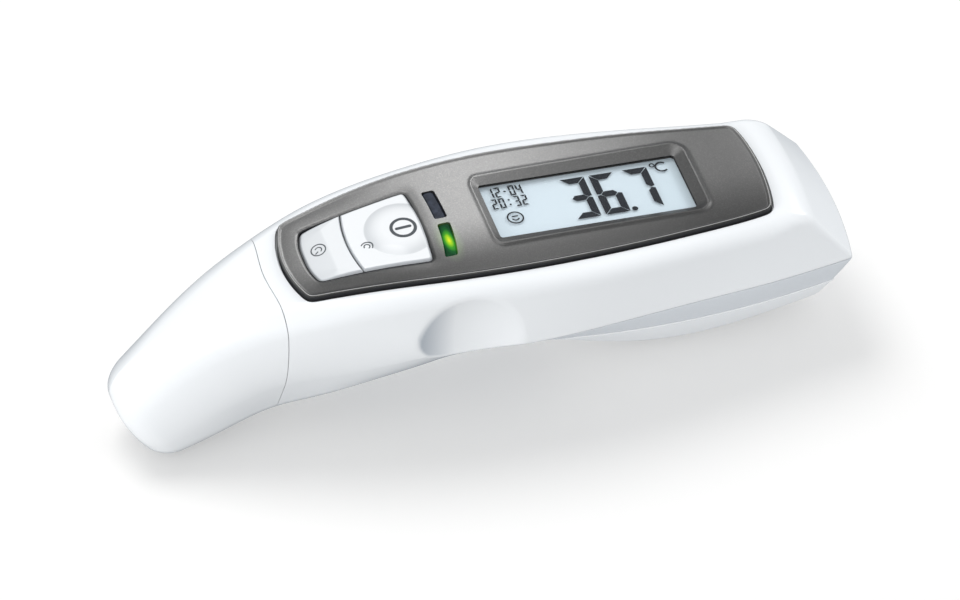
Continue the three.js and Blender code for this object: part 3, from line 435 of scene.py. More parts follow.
def mirrored(half):
    return list(half) + [(x, -y) for x, y in half[1:-1][::-1]]


def signed_distance(pts):
    """Function of x, y: distance inside the closed outline, below zero outside."""
    P = np.asarray(pts, float)
    Q = np.roll(P, -1, 0)
    E = Q - P
    L2 = np.maximum((E ** 2).sum(1), 1e-12)

    def f(x, y):
        sh = np.shape(x)
        x, y = np.ravel(x), np.ravel(y)
        out = np.empty(len(x))
        for s in range(0, len(x), 4000):
            a, b = x[s:s + 4000, None], y[s:s + 4000, None]
            t = np.clip(((a - P[:, 0]) * E[:, 0] + (b - P[:, 1]) * E[:, 1]) / L2, 0, 1)
            d = np.hypot(a - P[:, 0] - t * E[:, 0], b - P[:, 1] - t * E[:, 1]).min(1)
            cross = ((P[:, 1] > b) != (Q[:, 1] > b)) & (a < (Q[:, 0] - P[:, 0]) * (b - P[:, 1]) / np.where(E[:, 1] == 0, 1e-12, E[:, 1]) + P[:, 0])
            out[s:s + 4000] = np.where(cross.sum(1) % 2 == 1, d, -d)
        return out.reshape(sh)
    return f


def offset(pts, d):
    """Closed outline moved inwards by d."""
    P = np.asarray(pts, float)
    x, y = P.T
    ccw = 1 if np.sum(x * np.roll(y, -1) - np.roll(x, -1) * y) > 0 else -1
    T = np.roll(P, -1, 0) - np.roll(P, 1, 0)
    T /= np.linalg.norm(T, axis=1, keepdims=True)
    Q = P + np.c_[-T[:, 1], T[:, 0]] * d * ccw
    if d > 0.3:
        Q = Q[signed_distance(P)(Q[:, 0], Q[:, 1]) > d - 0.03]
    return Q


def round_rect(x0, x1, y0, y1, r, n=8):
    out = []
    for cx, cy, a in ((x1 - r, y1 - r, 0), (x0 + r, y1 - r, 90), (x0 + r, y0 + r, 180), (x1 - r, y0 + r, 270)):
        for k in range(n + 1):
            t = math.radians(a + 90 * k / n)
            out.append((cx + r * math.cos(t), cy + r * math.sin(t)))
    return out


TILTED = Matrix.Translation((0, 0, Z0)) @ Matrix.Rotation(TILT, 4, "Y")
tilted = lambda me: transform(me, TILTED)


def to_tilted(x, y, z):
    Z = z - Z0
    return x * math.cos(TILT) - Z * math.sin(TILT), y, x * math.sin(TILT) + Z * math.cos(TILT)


BEZEL_LINE = smooth_closed(mirrored(BEZEL), 560)
BUTTON_LINE = smooth_closed(mirrored(BUTTONS), 360)
bezel_in = signed_distance(BEZEL_LINE)
button_in = signed_distance(BUTTON_LINE)

# ------------------------------------------------------------------ materials
MATS = {}


def rgb(h):
    h = h.lstrip("#")
    c = [int(h[i:i + 2], 16) / 255 for i in (0, 2, 4)]
    return [x / 12.92 if x <= 0.04045 else ((x + 0.055) / 1.055) ** 2.4 for x in c]


class Mat:
    def __init__(self, name):
        self.m = bpy.data.materials.new(name)
        self.m.use_nodes = True
        self.nt = self.m.node_tree
        self.nt.nodes.clear()
        self.out = self.nt.nodes.new("ShaderNodeOutputMaterial")
        tc = self.nt.nodes.new("ShaderNodeTexCoord")
        self.co = tc.outputs["Object"]
        MATS[name] = self.m

    def node(self, kind, _label=None, **inputs):
        n = self.nt.nodes.new("ShaderNode" + kind)
        for k, val in inputs.items():
            if hasattr(n, k) and not k[0].isupper():
                setattr(n, k, val)
                continue
            sock = n.inputs[k.replace("_", " ")] if isinstance(k, str) else n.inputs[k]
            self.put(sock, val)
        return n

    def put(self, sock, val):
        if isinstance(val, bpy.types.NodeSocket):
            self.nt.links.new(val, sock)
        else:
            if isinstance(val, (list, tuple)) and len(val) == 3 and sock.type == "RGBA":
                val = (*val, 1)
            sock.default_value = val

    def math(self, op, a, b=0.0, c=None, clamp=False):
        n = self.nt.nodes.new("ShaderNodeMath")
        n.operation, n.use_clamp = op, clamp
        self.put(n.inputs[0], a)
        self.put(n.inputs[1], b)
        if c is not None:
            self.put(n.inputs[2], c)
        return n.outputs[0]

    def noise(self, scale, detail=2.0, rough=0.5, dist=0.0, vec=None):
        n = self.nt.nodes.new("ShaderNodeTexNoise")
        self.put(n.inputs["Vector"], vec or self.co)
        n.inputs["Scale"].default_value = scale
        n.inputs["Detail"].default_value = detail
        n.inputs["Roughness"].default_value = rough
        n.inputs["Distortion"].default_value = dist
        return n.outputs["Fac"]

    def ramp(self, fac, stops, mode="LINEAR"):
        n = self.nt.nodes.new("ShaderNodeValToRGB")
        self.put(n.inputs[0], fac)
        n.color_ramp.interpolation = mode
        el = n.color_ramp.elements
        while len(el) < len(stops):
            el.new(0.5)
        for e, (p, c) in zip(el, stops):
            e.position = p
            e.color = (*c, 1) if len(c) == 3 else c
        return n.outputs["Color"]

    def mix(self, fac, a, b, mode="MIX"):
        n = self.nt.nodes.new("ShaderNodeMix")
        n.data_type, n.blend_type = "RGBA", mode
        self.put(n.inputs[0], fac)
        self.put(n.inputs[6], a)
        self.put(n.inputs[7], b)
        return n.outputs[2]

    def remap(self, fac, a, b):
        n = self.nt.nodes.new("ShaderNodeMapRange")
        self.put(n.inputs[0], fac)
        n.inputs[3].default_value, n.inputs[4].default_value = a, b
        return n.outputs[0]

    def bevel(self, radius_mm, normal=None, samples=4):
        n = self.nt.nodes.new("ShaderNodeBevel")
        n.samples = samples
        n.inputs["Radius"].default_value = radius_mm * 0.001
        if normal is not None:
            self.put(n.inputs["Normal"], normal)
        return n.outputs[0]

    def bump(self, height, strength, dist_mm, normal=None):
        n = self.nt.nodes.new("ShaderNodeBump")
        n.inputs["Strength"].default_value = strength
        n.inputs["Distance"].default_value = dist_mm * 0.001
        self.put(n.inputs["Height"], height)
        if normal is not None:
            self.put(n.inputs["Normal"], normal)
        return n.outputs[0]

    def principled(self, **kw):
        n = self.nt.nodes.new("ShaderNodeBsdfPrincipled")
        for k, val in kw.items():
            self.put(n.inputs[k.replace("_", " ")], val)
        self.nt.links.new(n.outputs[0], self.out.inputs[0])
        return n


def plastic(name, color, rough=0.25, coat=0.0, vary=0.012, grain=0.0, bevel=0.18, spec=0.5, sss=0.0, rim=0.0, painted_slope_shade=None, painted_grip_shade=None):
    """Moulded plastic: faint cloudiness in colour, gloss that varies a little, optional fine grain, and optional
    painted shade at grazing edges, on steep slopes and in the finger grip.
    """
    m = Mat(name)
    c = rgb(color) if isinstance(color, str) else list(color)
    big = m.noise(28, 3, 0.55)
    dark = [x * (1 - vary * 2) for x in c]
    col = m.mix(big, dark, c)
    if rim:                                                            # painted shade: a little darker where the surface turns away from the view
        lw = m.node("LayerWeight")
        lw.inputs["Blend"].default_value = 0.5
        g = m.math("DIVIDE", m.math("SUBTRACT", lw.outputs["Facing"], 0.72), 0.28, clamp=True)
        col = m.mix(m.math("MULTIPLY", m.math("POWER", g, 2.0), rim), col, (0.27, 0.30, 0.33))
    if painted_slope_shade or painted_grip_shade:
        way = m.node("SeparateXYZ")
        m.put(way.inputs[0], m.node("NewGeometry").outputs["Normal"])
    if painted_slope_shade:                                                          # painted shade: greyer on steep parts of a pad
        g = m.math("DIVIDE", m.math("SUBTRACT", 0.993, way.outputs[2]), 0.10, clamp=True)
        col = m.mix(m.math("MULTIPLY", g, 0.9), col, painted_slope_shade)
    if painted_grip_shade:                                                           # painted shade: greyer on the wall of the finger grip
        at = m.node("SeparateXYZ")
        m.put(at.inputs[0], m.co)
        g = m.math("DIVIDE", m.math("SUBTRACT", way.outputs[0], 0.03), 0.34, clamp=True)
        a = m.math("DIVIDE", m.math("SUBTRACT", at.outputs[0], (painted_grip_shade[0] + SHIFT) / 1000), 0.001, clamp=True)
        b = m.math("DIVIDE", m.math("SUBTRACT", (painted_grip_shade[1] + SHIFT) / 1000, at.outputs[0]), 0.001, clamp=True)
        c2 = m.math("DIVIDE", m.math("SUBTRACT", -0.010, at.outputs[1]), 0.002, clamp=True)
        g = m.math("MULTIPLY", m.math("MULTIPLY", g, a), m.math("MULTIPLY", b, c2))
        col = m.mix(m.math("MULTIPLY", g, 0.85), col, (0.40, 0.44, 0.49))
        # and, as painted shade too, a little greyer along the far shoulder, fading out towards the display end
        f1 = m.math("DIVIDE", m.math("SUBTRACT", way.outputs[1], 0.22), 0.35, clamp=True)
        f2 = m.math("DIVIDE", m.math("SUBTRACT", 0.97, way.outputs[1]), 0.15, clamp=True)
        f3 = m.math("DIVIDE", m.math("SUBTRACT", (2 + SHIFT) / 1000, at.outputs[0]), 0.025, clamp=True)
        col = m.mix(m.math("MULTIPLY", m.math("MULTIPLY", f1, f2), m.math("MULTIPLY", f3, 0.50)), col, (0.45, 0.47, 0.49))
    r = m.remap(m.noise(160, 4, 0.6), rough * 0.86, rough * 1.14)
    nrm = m.bevel(bevel) if bevel else None
    if grain:
        nrm = m.bump(m.noise(5200, 2, 0.6), grain, 0.02, nrm)
    kw = dict(Base_Color=col, Roughness=r, Specular_IOR_Level=spec)
    if nrm is not None:
        kw["Normal"] = nrm
    if coat:
        kw["Coat_Weight"] = coat
        kw["Coat_Roughness"] = 0.06
    if sss:
        kw["Subsurface_Weight"] = sss
        kw["Subsurface_Scale"] = 0.002
    m.principled(**kw)
    return m.m


def metal(name, color, rough=0.28, brushed=None):
    m = Mat(name)
    c = rgb(color)
    vec = m.co
    if brushed:
        mp = m.node("Mapping")
        m.put(mp.inputs["Vector"], m.co)
        mp.inputs["Scale"].default_value = brushed
        vec = mp.outputs[0]
    n1 = m.noise(900, 3, 0.6, vec=vec)
    col = m.mix(m.noise(120, 3), [x * 0.86 for x in c], c)
    m.principled(Base_Color=col, Metallic=1.0, Roughness=m.remap(n1, rough * 0.75, rough * 1.35),
                 Normal=m.bump(n1, 0.08, 0.03, m.bevel(0.08)))
    return m.m


white = plastic("white_gloss_plastic", (0.79, 0.806, 0.820), 0.24, coat=0.15, bevel=0.14, rim=0.85, painted_grip_shade=(-44, -28))
# painted shade: the rear shell gets a darker, bluer copy of the housing white, as the underside lies in shadow
rear_white_shaded = plastic("rear_white_painted_shade", (0.70, 0.730, 0.765), 0.36, bevel=0.0)
# painted light: the battery cover and the bead along its top edge get lighter copies of the housing white, the bead a
# painted highlight along the ridge
cover = plastic("cover_white_painted_light", (0.92, 0.935, 0.95), 0.36, bevel=0.0)
cover_edge = plastic("cover_edge_painted_highlight", (0.93, 0.94, 0.95), 0.15, coat=0.6, bevel=0.0)
button_white = plastic("button_white_plastic", (0.75, 0.762, 0.772), 0.24, coat=0.25, bevel=0.10, rim=0.4, painted_slope_shade=(0.40, 0.42, 0.44))
button_soft = plastic("button_soft_white_plastic", (0.71, 0.725, 0.737), 0.26, coat=0.2, bevel=0.10, rim=0.4, painted_slope_shade=(0.40, 0.42, 0.44))
rubber = plastic("black_rubber_seal", (0.012, 0.012, 0.014), 0.55, grain=0.15, bevel=0.0)


def bezel_material():
    m = Mat("metallic_grey_paint")
    flake = m.nt.nodes.new("ShaderNodeTexVoronoi")
    m.put(flake.inputs["Vector"], m.co)
    flake.inputs["Scale"].default_value = 7200
    sep = m.nt.nodes.new("ShaderNodeSeparateColor")
    m.put(sep.inputs[0], flake.outputs["Color"])
    fl = sep.outputs[0]
    grey = m.ramp(fl, [(0.0, (0.88, 0.875, 0.865)), (0.75, (1.0, 0.995, 0.985)), (1.0, (1.22, 1.21, 1.19))])
    # painted sheen: the panel is lighter round the middle and far side, darker to the near edge and display end, where
    # a broad reflection would fall and fade
    pos = m.node("SeparateXYZ")
    m.put(pos.inputs[0], m.co)
    fx = m.math("SUBTRACT", pos.outputs[0], (-26 + SHIFT) / 1000)
    fx = m.math("DIVIDE", fx, m.math("SUBTRACT", 0.150, m.math("MULTIPLY", m.math("GREATER_THAN", fx, 0.0), 0.116)))
    fx = m.math("DIVIDE", 1.0, m.math("ADD", 1.0, m.math("MULTIPLY", fx, fx)))
    gy = m.nt.nodes.new("ShaderNodeMapRange")
    gy.interpolation_type = "SMOOTHSTEP"
    m.put(gy.inputs[0], pos.outputs[1])
    gy.inputs[1].default_value, gy.inputs[2].default_value = -0.0125, 0.0
    tone_and_painted_sheen = m.math("MULTIPLY", m.remap(m.noise(60, 3), 0.95, 1.05), m.math("ADD", 0.038, m.math("MULTIPLY", m.math("MULTIPLY", fx, gy.outputs[0]), 0.118)))
    col = m.mix(1.0, grey, tone_and_painted_sheen, "MULTIPLY")
    # green light spilled round the lit window
    geo = m.nt.nodes.new("ShaderNodeNewGeometry")
    sub = m.nt.nodes.new("ShaderNodeVectorMath")
    sub.operation = "SUBTRACT"
    m.put(sub.inputs[0], m.co)
    sub.inputs[1].default_value = ((-28.05 + SHIFT) / 1000, -5.1 / 1000, (Z0 + 2.2) / 1000)
    sc = m.nt.nodes.new("ShaderNodeVectorMath")
    sc.operation = "MULTIPLY"
    m.put(sc.inputs[0], sub.outputs[0])
    sc.inputs[1].default_value = (1.0, 0.45, 0.6)
    ln = m.nt.nodes.new("ShaderNodeVectorMath")
    ln.operation = "LENGTH"
    m.put(ln.inputs[0], sc.outputs[0])
    d = m.math("MULTIPLY", ln.outputs["Value"], 1000.0)          # mm
    glow = m.math("MULTIPLY", m.math("POWER", m.math("SUBTRACT", 1.0, m.math("DIVIDE", d, 3.0), clamp=True), 2.0), 1.0)
    nrm = m.bump(m.math("ADD", m.math("MULTIPLY", fl, 0.5), m.noise(9000, 2, 0.6)), 0.13, 0.010, m.bevel(0.08))
    m.principled(Base_Color=col, Metallic=0.78, Roughness=m.remap(m.noise(2600, 3), 0.33, 0.39), Normal=nrm,
                 Coat_Weight=0.10, Coat_Roughness=0.25,
                 Emission_Color=(0.38, 0.85, 0.06, 1), Emission_Strength=m.math("MULTIPLY", glow, 0.42))
    return m.m


bezel_grey = bezel_material()
# painted highlight: a lighter grey than the panel, for the bead round the panel edge
painted_edge_highlight = plastic("panel_edge_painted_highlight", (0.36, 0.358, 0.352), 0.3, coat=0.3, bevel=0.0)
print_dark = plastic("printed_slate_ink", (0.058, 0.067, 0.076), 0.45, bevel=0.0)

# ------------------------------------------------------------------ shells
LEDGE = 0.10                                  # the door stands this proud, a fine ledge along the ridge
DENSE = dict(nx=300, fan=56, split=[38, 40, 34, 34, 16])
outer = form_solid(0, **DENSE)
inner = form_solid(-WALL, 90, 16, [8, 10, 8, 8, 5], 33, -70)
door_inner = form_solid(-DOOR_WALL, 90, 16, [8, 10, 8, 8, 5], 33, -70)
cap_inner = form_solid(-CAP_WALL, 90, 18, [8, 10, 8, 8, 5])

seam = [(SEAM_X + 0.9 * (1 - math.exp(-((y / 6.6) ** 2))), y) for y in np.linspace(-30, 30, 121)]
cap_side = lambda d: prism([(x + d, y) for x, y in seam] + [(-110, 30), (-110, -30)], -20, 60)
body_side = lambda d: prism([(x + d, y) for x, y in seam] + [(70, 30), (70, -30)], -20, 60)

def smooth_open(pts, n):
    """Smooth run through points, by arc length."""
    P = np.array(pts, float)
    t = np.concatenate([[0], np.cumsum(np.hypot(*np.diff(P, axis=0).T))])
    u = np.linspace(0, t[-1], n)
    return list(zip(Spline(t, P[:, 0])(u), Spline(t, P[:, 1])(u)))


part_line = [(70, 21.61)] + [(x, min(z, 21.61)) for x, z in smooth_open(PART[:-1], 90)] + [PART[-1]]
above = lambda d: prism_y([(x - d, z + d) for x, z in part_line] + [(-70, -30 + d), (-70, 70), (70, 70)], -40, 40)
below = lambda d: prism_y([(x - d, z + d) for x, z in part_line] + [(70, -30 + d)], -40, 40)

ridge_x = np.concatenate([np.arange(DOOR_X, 51, 0.6), [51.2]])
ridge_z = Z0 + COL[4](clampx(ridge_x))


def door_zone(d, e):
    pts = [(x if i else x + e, z + d) for i, (x, z) in enumerate(zip(ridge_x, ridge_z))]
    return prism_y(pts + [(60, ridge_z[-1] + d), (60, -20), (DOOR_X + e, -20)], -40, 40)


def top_slab(lo, hi, x0=-60, x1=36, nx=64, ny=22):
    return slab(np.linspace(x0, x1, nx + 1), np.linspace(-16, 16, ny + 1), lambda x, y: topz(x, y) + lo, lambda x, y: topz(x, y) + hi)


hollow = cut(outer.copy(), inner)
keep_in = form_solid(-0.9, 60, 10, [5, 6, 5, 5, 3])
door_clear = form_solid(-2.0, 60, 10, [5, 6, 5, 5, 3])
SX, SY, NT, NL = 34.0, 12.05, 29.2, 7.2

front = common(hollow.copy(), body_side(0.05), above(0.07))
front = cut(front,
            common(prism(offset(BEZEL_LINE, -0.33), 20, 60), top_slab(-1.1, 8, -62, 36)),
            prism(round_rect(-22.2, 22.4, -10.2, 10.2, 1.5), 25, 50),
            prism(offset(BUTTON_LINE, -0.3), 25, 50),
            prism(round_rect(-30.7, -26.0, -9.9, 9.9, 0.6), 25, 50))
for s in (-1, 1):
    boss = cut(common(cyl_z(SX, s * SY, 23.3, 38, 2.6), keep_in.copy()),
               common(prism(offset(BEZEL_LINE, -0.5), 20, 60), top_slab(-1.3, 8, -62, 40)))
    front = cut(join(front, boss), cyl_z(SX, s * SY, 20, 31.5, 1.3))
boss = cut(common(join(cyl_x(-59.6, -54.2, 0, NT, 2.7), box(-59.6, -54.6, -1.2, 1.2, NT, 38)), keep_in.copy()), top_slab(-1.3, 8, -62, -50, 8))
front = cut(join(front, boss), cyl_x(-62, -55.2, 0, NT, 1.15))
front = cut(join(front, common(join(cyl_x(-59.6, -54.6, 0, NL, 2.5), box(-59.6, -54.8, -1.2, 1.2, 0, NL)), keep_in.copy())),
            cyl_x(-62, -55.4, 0, NL, 1.15))
finish_piece(front, "front_shell", "housing", ["front_housing"], white, [on_form(), on_form(-WALL, -1)])

rear = cut(common(hollow, body_side(0.05), below(-0.07)), door_zone(0.0, 0.0))
deck = prism([(-20, 19.9), (-10, 19.9), (-10, 21.8), (10, 21.8), (10, 19.9), (20, 19.9), (20, 21.1), (11.2, 21.1),
              (11.2, 23), (-11.2, 23), (-11.2, 21.1), (-20, 21.1)], -10.6, 41)
deck.transform(Matrix(((0, 0, 1, 0), (1, 0, 0, 0), (0, 1, 0, 0), (0, 0, 0, 1))))      # outline in Y and Z, along X
tray = join(common(deck, keep_in.copy()), common(box(39.7, 40.7, -9.9, 9.9, 12.9, 22), door_clear.copy()),
            common(box(-10.6, -9.5, -9.8, 9.8, 7.6, 22), keep_in.copy()))
rear = join(rear, tray)
for s in (-1, 1):
    rear = cut(rear, cyl_z(SX, s * SY, 17, 24, 1.3), cyl_z(SX, s * SY, 16, 19.9, 1.9))
finish_piece(rear, "rear_shell", "housing", ["rear_housing"], rear_white_shaded, [on_form(), on_form(-WALL, -1)])

door = common(cut(form_solid(LEDGE, nx=200, fan=40, split=[26, 28, 26, 30, 14]), door_inner), door_zone(-0.07, GAP), box(-40, 60, -40, 40, 0, 60))
finish_piece(door, "battery_cover", "battery_door", ["battery_door"], cover, [on_form(LEDGE), on_form(-DOOR_WALL, -1)])

bead_v, bead_f = [], []                      # fine rounded edge along the top of the cover, both sides
for side in (-1, 1):
    bx = np.linspace(DOOR_X + 0.4, 46.6, 120)
    bzz = Z0 + COL[4](clampx(bx)) - 0.24
    lo, hi = np.zeros_like(bx), np.full_like(bx, 30.0)
    for _ in range(34):
        mm_ = (lo + hi) / 2
        ins = form(bx, mm_, bzz) < 0.06
        lo, hi = np.where(ins, mm_, lo), np.where(ins, hi, mm_)
    keep = lo > 2.0
    path = np.stack([bx, lo * side, bzz], 1)[keep]
    base, k, n = len(bead_v), 10, len(path)
    for q in path:
        for j in range(k):
            a = 2 * math.pi * j / k
            bead_v.append((q[0], q[1] + 0.19 * math.cos(a), q[2] + 0.19 * math.sin(a)))
    for i in range(n - 1):
        for j in range(k):
            a, b = base + i * k + j, base + i * k + (j + 1) % k
            bead_f.append((a, b, b + k, a + k))
    bead_f.append(tuple(base + j for j in range(k))[::-1])
    bead_f.append(tuple(base + (n - 1) * k + j for j in range(k)))
me = bpy.data.meshes.new("cover_edge")
me.from_pydata(bead_v, [], bead_f)
me.validate()
me.transform(Matrix.Scale(0.001, 4) @ Matrix.Translation((SHIFT, 0, 0)))
for p in me.polygons:
    p.use_smooth = True
# the bead's light white is a painted highlight along the ridge
me.materials.append(cover_edge)
edge_ob = bpy.data.objects.new("cover_edge", me)
bpy.context.scene.collection.objects.link(edge_ob)
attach(edge_ob, "battery_door")

hole = transform(cyl(3.8, -8, 8, 64), Matrix.Translation((TIP_X, 0, TIP_Z + Z0 - 0.6)) @ Matrix.Rotation(-TIP_A, 4, "Y") @ Matrix.Rotation(math.pi / 2, 4, "Y"))
cap = cut(common(cut(outer, cap_inner), cap_side(-0.05)), hole)
finish_piece(cap, "nose_cap", "probe_cap", ["probe_cap"], white, [on_form(), on_form(-CAP_WALL, -1)])

# ------------------------------------------------------------------ bezel
LCD_X, LCD_Y = 18.85, 7.05


def recess(x, y):
    """World z of the sloped recess round the display, and how far out a point is (0 glass edge, 1 lip)."""
    xt = (x - 0.9 * math.sin(TILT)) / math.cos(TILT)
    ax = np.where(xt < 0, (-xt - LCD_X) / 1.30, (xt - LCD_X) / 2.05)
    ay = np.where(y < 0, (-y - LCD_Y) / 1.75, (y - LCD_Y) / 2.15)
    q = rmax(ax, ay, 0.30)
    h = 0.30
    low = Z0 + (h - xt * math.sin(TILT)) / math.cos(TILT) - h * (1 / math.cos(TILT) - math.cos(TILT))
    crest = np.maximum(topz(x, y) + PROUD - STEP + LIP, low + 0.12)
    return low + (crest - low) * np.maximum(q, -0.05), q


def smin(a, b, r):
    return -rmax(-a, -b, r)


STEP = 0.17
LIP = 0.20                                    # raised lip round the display recess


def bezel_h(x, y):
    d = bezel_in(x, y)
    t = np.clip(1 - d / 0.24, 0, 1)
    h = topz(x, y) + PROUD - 0.20 * (1 - np.sqrt(np.maximum(1 - t * t, 0)))
    q = np.clip((d - 0.44) / 0.34, 0, 1)
    h = h - STEP * q * q * (3 - 2 * q)                                    # raised rim, then down to the panel
    db = -button_in(x, y)
    t = np.clip(1 - db / 0.55, 0, 1)
    h = h - 0.36 * (1 - np.sqrt(np.maximum(1 - t * t, 0)))
    h = h - 0.16 * np.exp(-(np.maximum(db, 0) / 1.3) ** 2)                # sinks a little towards the buttons
    r, q = recess(x, y)
    h = h + LIP * np.exp(-(np.maximum(q - 1, 0) * 1.75 / 0.50) ** 2)
    return smin(h, r, 0.06)


xs = np.arange(-58.5, 33.7, 0.18)
ys = np.arange(-15.48, 15.49, 0.18)
X, Y = np.meshgrid(xs, ys, indexing="ij")
HB = bezel_h(X, Y)


class Lookup:
    """Heights between grid points, by bilinear steps, so normals can be found anywhere."""

    def __init__(self, xs, ys, H):
        self.xs, self.ys, self.H = xs, ys, H
        self.gx, self.gy = np.gradient(H, xs, ys)

    def at(self, A, x, y):
        fx = np.clip((x - self.xs[0]) / (self.xs[1] - self.xs[0]), 0, len(self.xs) - 1.001)
        fy = np.clip((y - self.ys[0]) / (self.ys[1] - self.ys[0]), 0, len(self.ys) - 1.001)
        i, j = fx.astype(int), fy.astype(int)
        u, v = fx - i, fy - j
        return A[i, j] * (1 - u) * (1 - v) + A[i + 1, j] * u * (1 - v) + A[i, j + 1] * (1 - u) * v + A[i + 1, j + 1] * u * v

    def rule(self, tol=0.02):
        def f(v):
            x, y, z = v.T
            mask = np.abs(self.at(self.H, x, y) - z) < tol
            n = np.zeros_like(v)
            n[:, 0], n[:, 1], n[:, 2] = -self.at(self.gx, x, y), -self.at(self.gy, x, y), 1
            return mask, n / np.linalg.norm(n, axis=1, keepdims=True)
        return f


look = Lookup(xs, ys, HB)
LED_Y = {1: (0.45, 7.9), -1: (0.9, 9.3)}
led_bow = lambda s, y: (-0.33 if s > 0 else -1.05) * (np.abs(y) / LED_Y[s][1]) ** 2


def led_outline(s, d, n=14):
    """Curved slot for a light window, corners rounded."""
    rr = 0.45
    pts = []
    x0, x1, y0, y1 = -28.97 + d, -26.55 - d, LED_Y[s][0] + d, LED_Y[s][1] - d
    for cx, cy, a in ((x1 - rr, y1 - rr, 0), (x0 + rr, y1 - rr, 90)):
        for k in range(7):
            t = math.radians(a + 90 * k / 6)
            pts.append((cx + rr * math.cos(t), cy + rr * math.sin(t)))
    for k in range(1, n):
        pts.append((x0, y1 - rr + (y0 + rr - y1 + rr) * k / n))
    for cx, cy, a in ((x0 + rr, y0 + rr, 180), (x1 - rr, y0 + rr, 270)):
        for k in range(7):
            t = math.radians(a + 90 * k / 6)
            pts.append((cx + rr * math.cos(t), cy + rr * math.sin(t)))
    for k in range(1, n):
        pts.append((x1, y0 + rr + (y1 - rr - y0 - rr) * k / n))
    return [(x + led_bow(s, y), y * s) for x, y in pts]


bezel = slab(xs, ys, 20.0, lambda x, y: HB)
bezel = common(bezel, prism(BEZEL_LINE, 22, 60))
ring_zone = cut(prism(offset(BEZEL_LINE, -1.5), 15, 60), prism(offset(BEZEL_LINE, 0.66), 10, 70))
bezel = cut(bezel, common(ring_zone, top_slab(-20, PROUD - 0.20, -62, 37)), top_slab(-30, -0.8, -62, 37))
bezel = cut(bezel, prism(BUTTON_LINE, 20, 60), tilted(prism(round_rect(-LCD_X, LCD_X, -LCD_Y, LCD_Y, 0.55), -7, 7)),
            tilted(box(-19.75, 20.05, -8.2, 8.2, -7, 0.29)))
for s in (-1, 1):
    bezel = cut(bezel, prism(led_outline(s, 0), 20, 60))
finish_piece(bezel, "control_panel", "housing", ["bezel_panel"], bezel_grey, [look.rule()])

def bead(path, r, name, body, material, k=8):
    """Fine closed bead along an edge."""
    P = np.asarray(path, float)
    T = np.roll(P, -1, 0) - np.roll(P, 1, 0)
    T /= np.linalg.norm(T, axis=1, keepdims=True)
    N = np.c_[-T[:, 1], T[:, 0], 0 * T[:, 0]]
    N /= np.linalg.norm(N, axis=1, keepdims=True)
    B = np.cross(T, N)
    v = [tuple(P[i] + r * (math.cos(2 * math.pi * j / k) * N[i] + math.sin(2 * math.pi * j / k) * B[i])) for i in range(len(P)) for j in range(k)]
    n = len(P)
    f = [(i * k + j, i * k + (j + 1) % k, (i + 1) % n * k + (j + 1) % k, (i + 1) % n * k + j) for i in range(n) for j in range(k)]
    me = bpy.data.meshes.new(name)
    me.from_pydata(v, [], f)
    me.validate()
    me.transform(Matrix.Scale(0.001, 4) @ Matrix.Translation((SHIFT, 0, 0)))
    for p in me.polygons:
        p.use_smooth = True
    me.materials.append(material)
    ob = bpy.data.objects.new(name, me)
    bpy.context.scene.collection.objects.link(ob)
    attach(ob, body)


# painted highlight: this bead is a lighter grey than the panel, to draw a bright line along its edge
rim_line = np.asarray(offset(BEZEL_LINE, 0.29), float)[:, :2]
bead(np.c_[rim_line, topz(rim_line[:, 0], rim_line[:, 1]) + PROUD - 0.03], 0.075, "panel_edge", "housing", painted_edge_highlight)

ring = common(cut(prism(offset(BEZEL_LINE, 0.0), 20, 60), prism(offset(BEZEL_LINE, 0.62), 10, 70)), top_slab(-0.9, PROUD - 0.21))
finish_piece(ring, "panel_gasket", "housing", ["bezel_gasket"], rubber)

# ------------------------------------------------------------------ buttons
JX = lambda y, d=0.0: -45.76 + 1.02 * (y / 7.8) ** 2 + d
CLUSTER = offset(BUTTON_LINE, 0.30)
cluster_in = signed_distance(CLUSTER)


def round_edge(d, r, k=1.0):
    t = np.clip(1 - d / r, 0, 1)
    return r * k * (1 - np.sqrt(np.maximum(1 - t * t, 0)))


def ear_h(x, y):
    d = np.minimum(cluster_in(x, y), (x - JX(y, 0.09)) * 2.2)
    q = np.clip(1 - ((x + 35.6) / 6.7) ** 2 - (y / 6.7) ** 2, 0, 1)
    dome = 0.80 * (q * q * (3 - 2 * q)) ** 0.57
    return topz(x, y) + 0.75 + dome - round_edge(d, 0.55)


def fore_h(x, y):
    d = np.minimum(cluster_in(x, y), (JX(y, -0.09) - x) * 2.0)
    a = 0.16 * (-49.2 - x)
    b = 0.162 * (np.abs(y) - 5.26) - 0.0847 * (x + 49.2)
    drop = rmax(rmax(a, b, 0.03), np.zeros_like(x), 0.03)
    return topz(x, y) + 0.75 - drop - round_edge(d, 0.45)


def button(h, x0, x1, low, edge):
    bx, by = np.arange(x0, x1, 0.125), np.arange(-9.625, 9.63, 0.125)
    A, B = np.meshgrid(bx, by, indexing="ij")
    H = h(A, B)
    me = slab(bx, by, 26.0, lambda x, y: H)
    me = common(me, prism(CLUSTER, 20, 60), prism(edge, 20, 60))
    return cut(me, top_slab(-30, low, -62, 37)), Lookup(bx, by, H)


yy = np.linspace(-10.5, 10.5, 61)
me, lk = button(ear_h, -47.0, -30.9, -1.5, [(JX(y, 0.09), y) for y in yy] + [(-25, 12), (-25, -12)])
me = join(me, cyl_z(-37.6, 0, 34.75, 36.9, 2.2))
ear = finish_piece(me, "ear_key", "ear_button", ["ear_button"], button_white, [lk.rule()])
ear_look = lk
me, lk = button(fore_h, -55.0, -43.6, -1.2, [(JX(y, -0.09), y) for y in yy] + [(-60, 12), (-60, -12)])
fore = finish_piece(me, "forehead_key", "forehead_button", ["forehead_button"], button_soft, [lk.rule()])
fore_look = lk


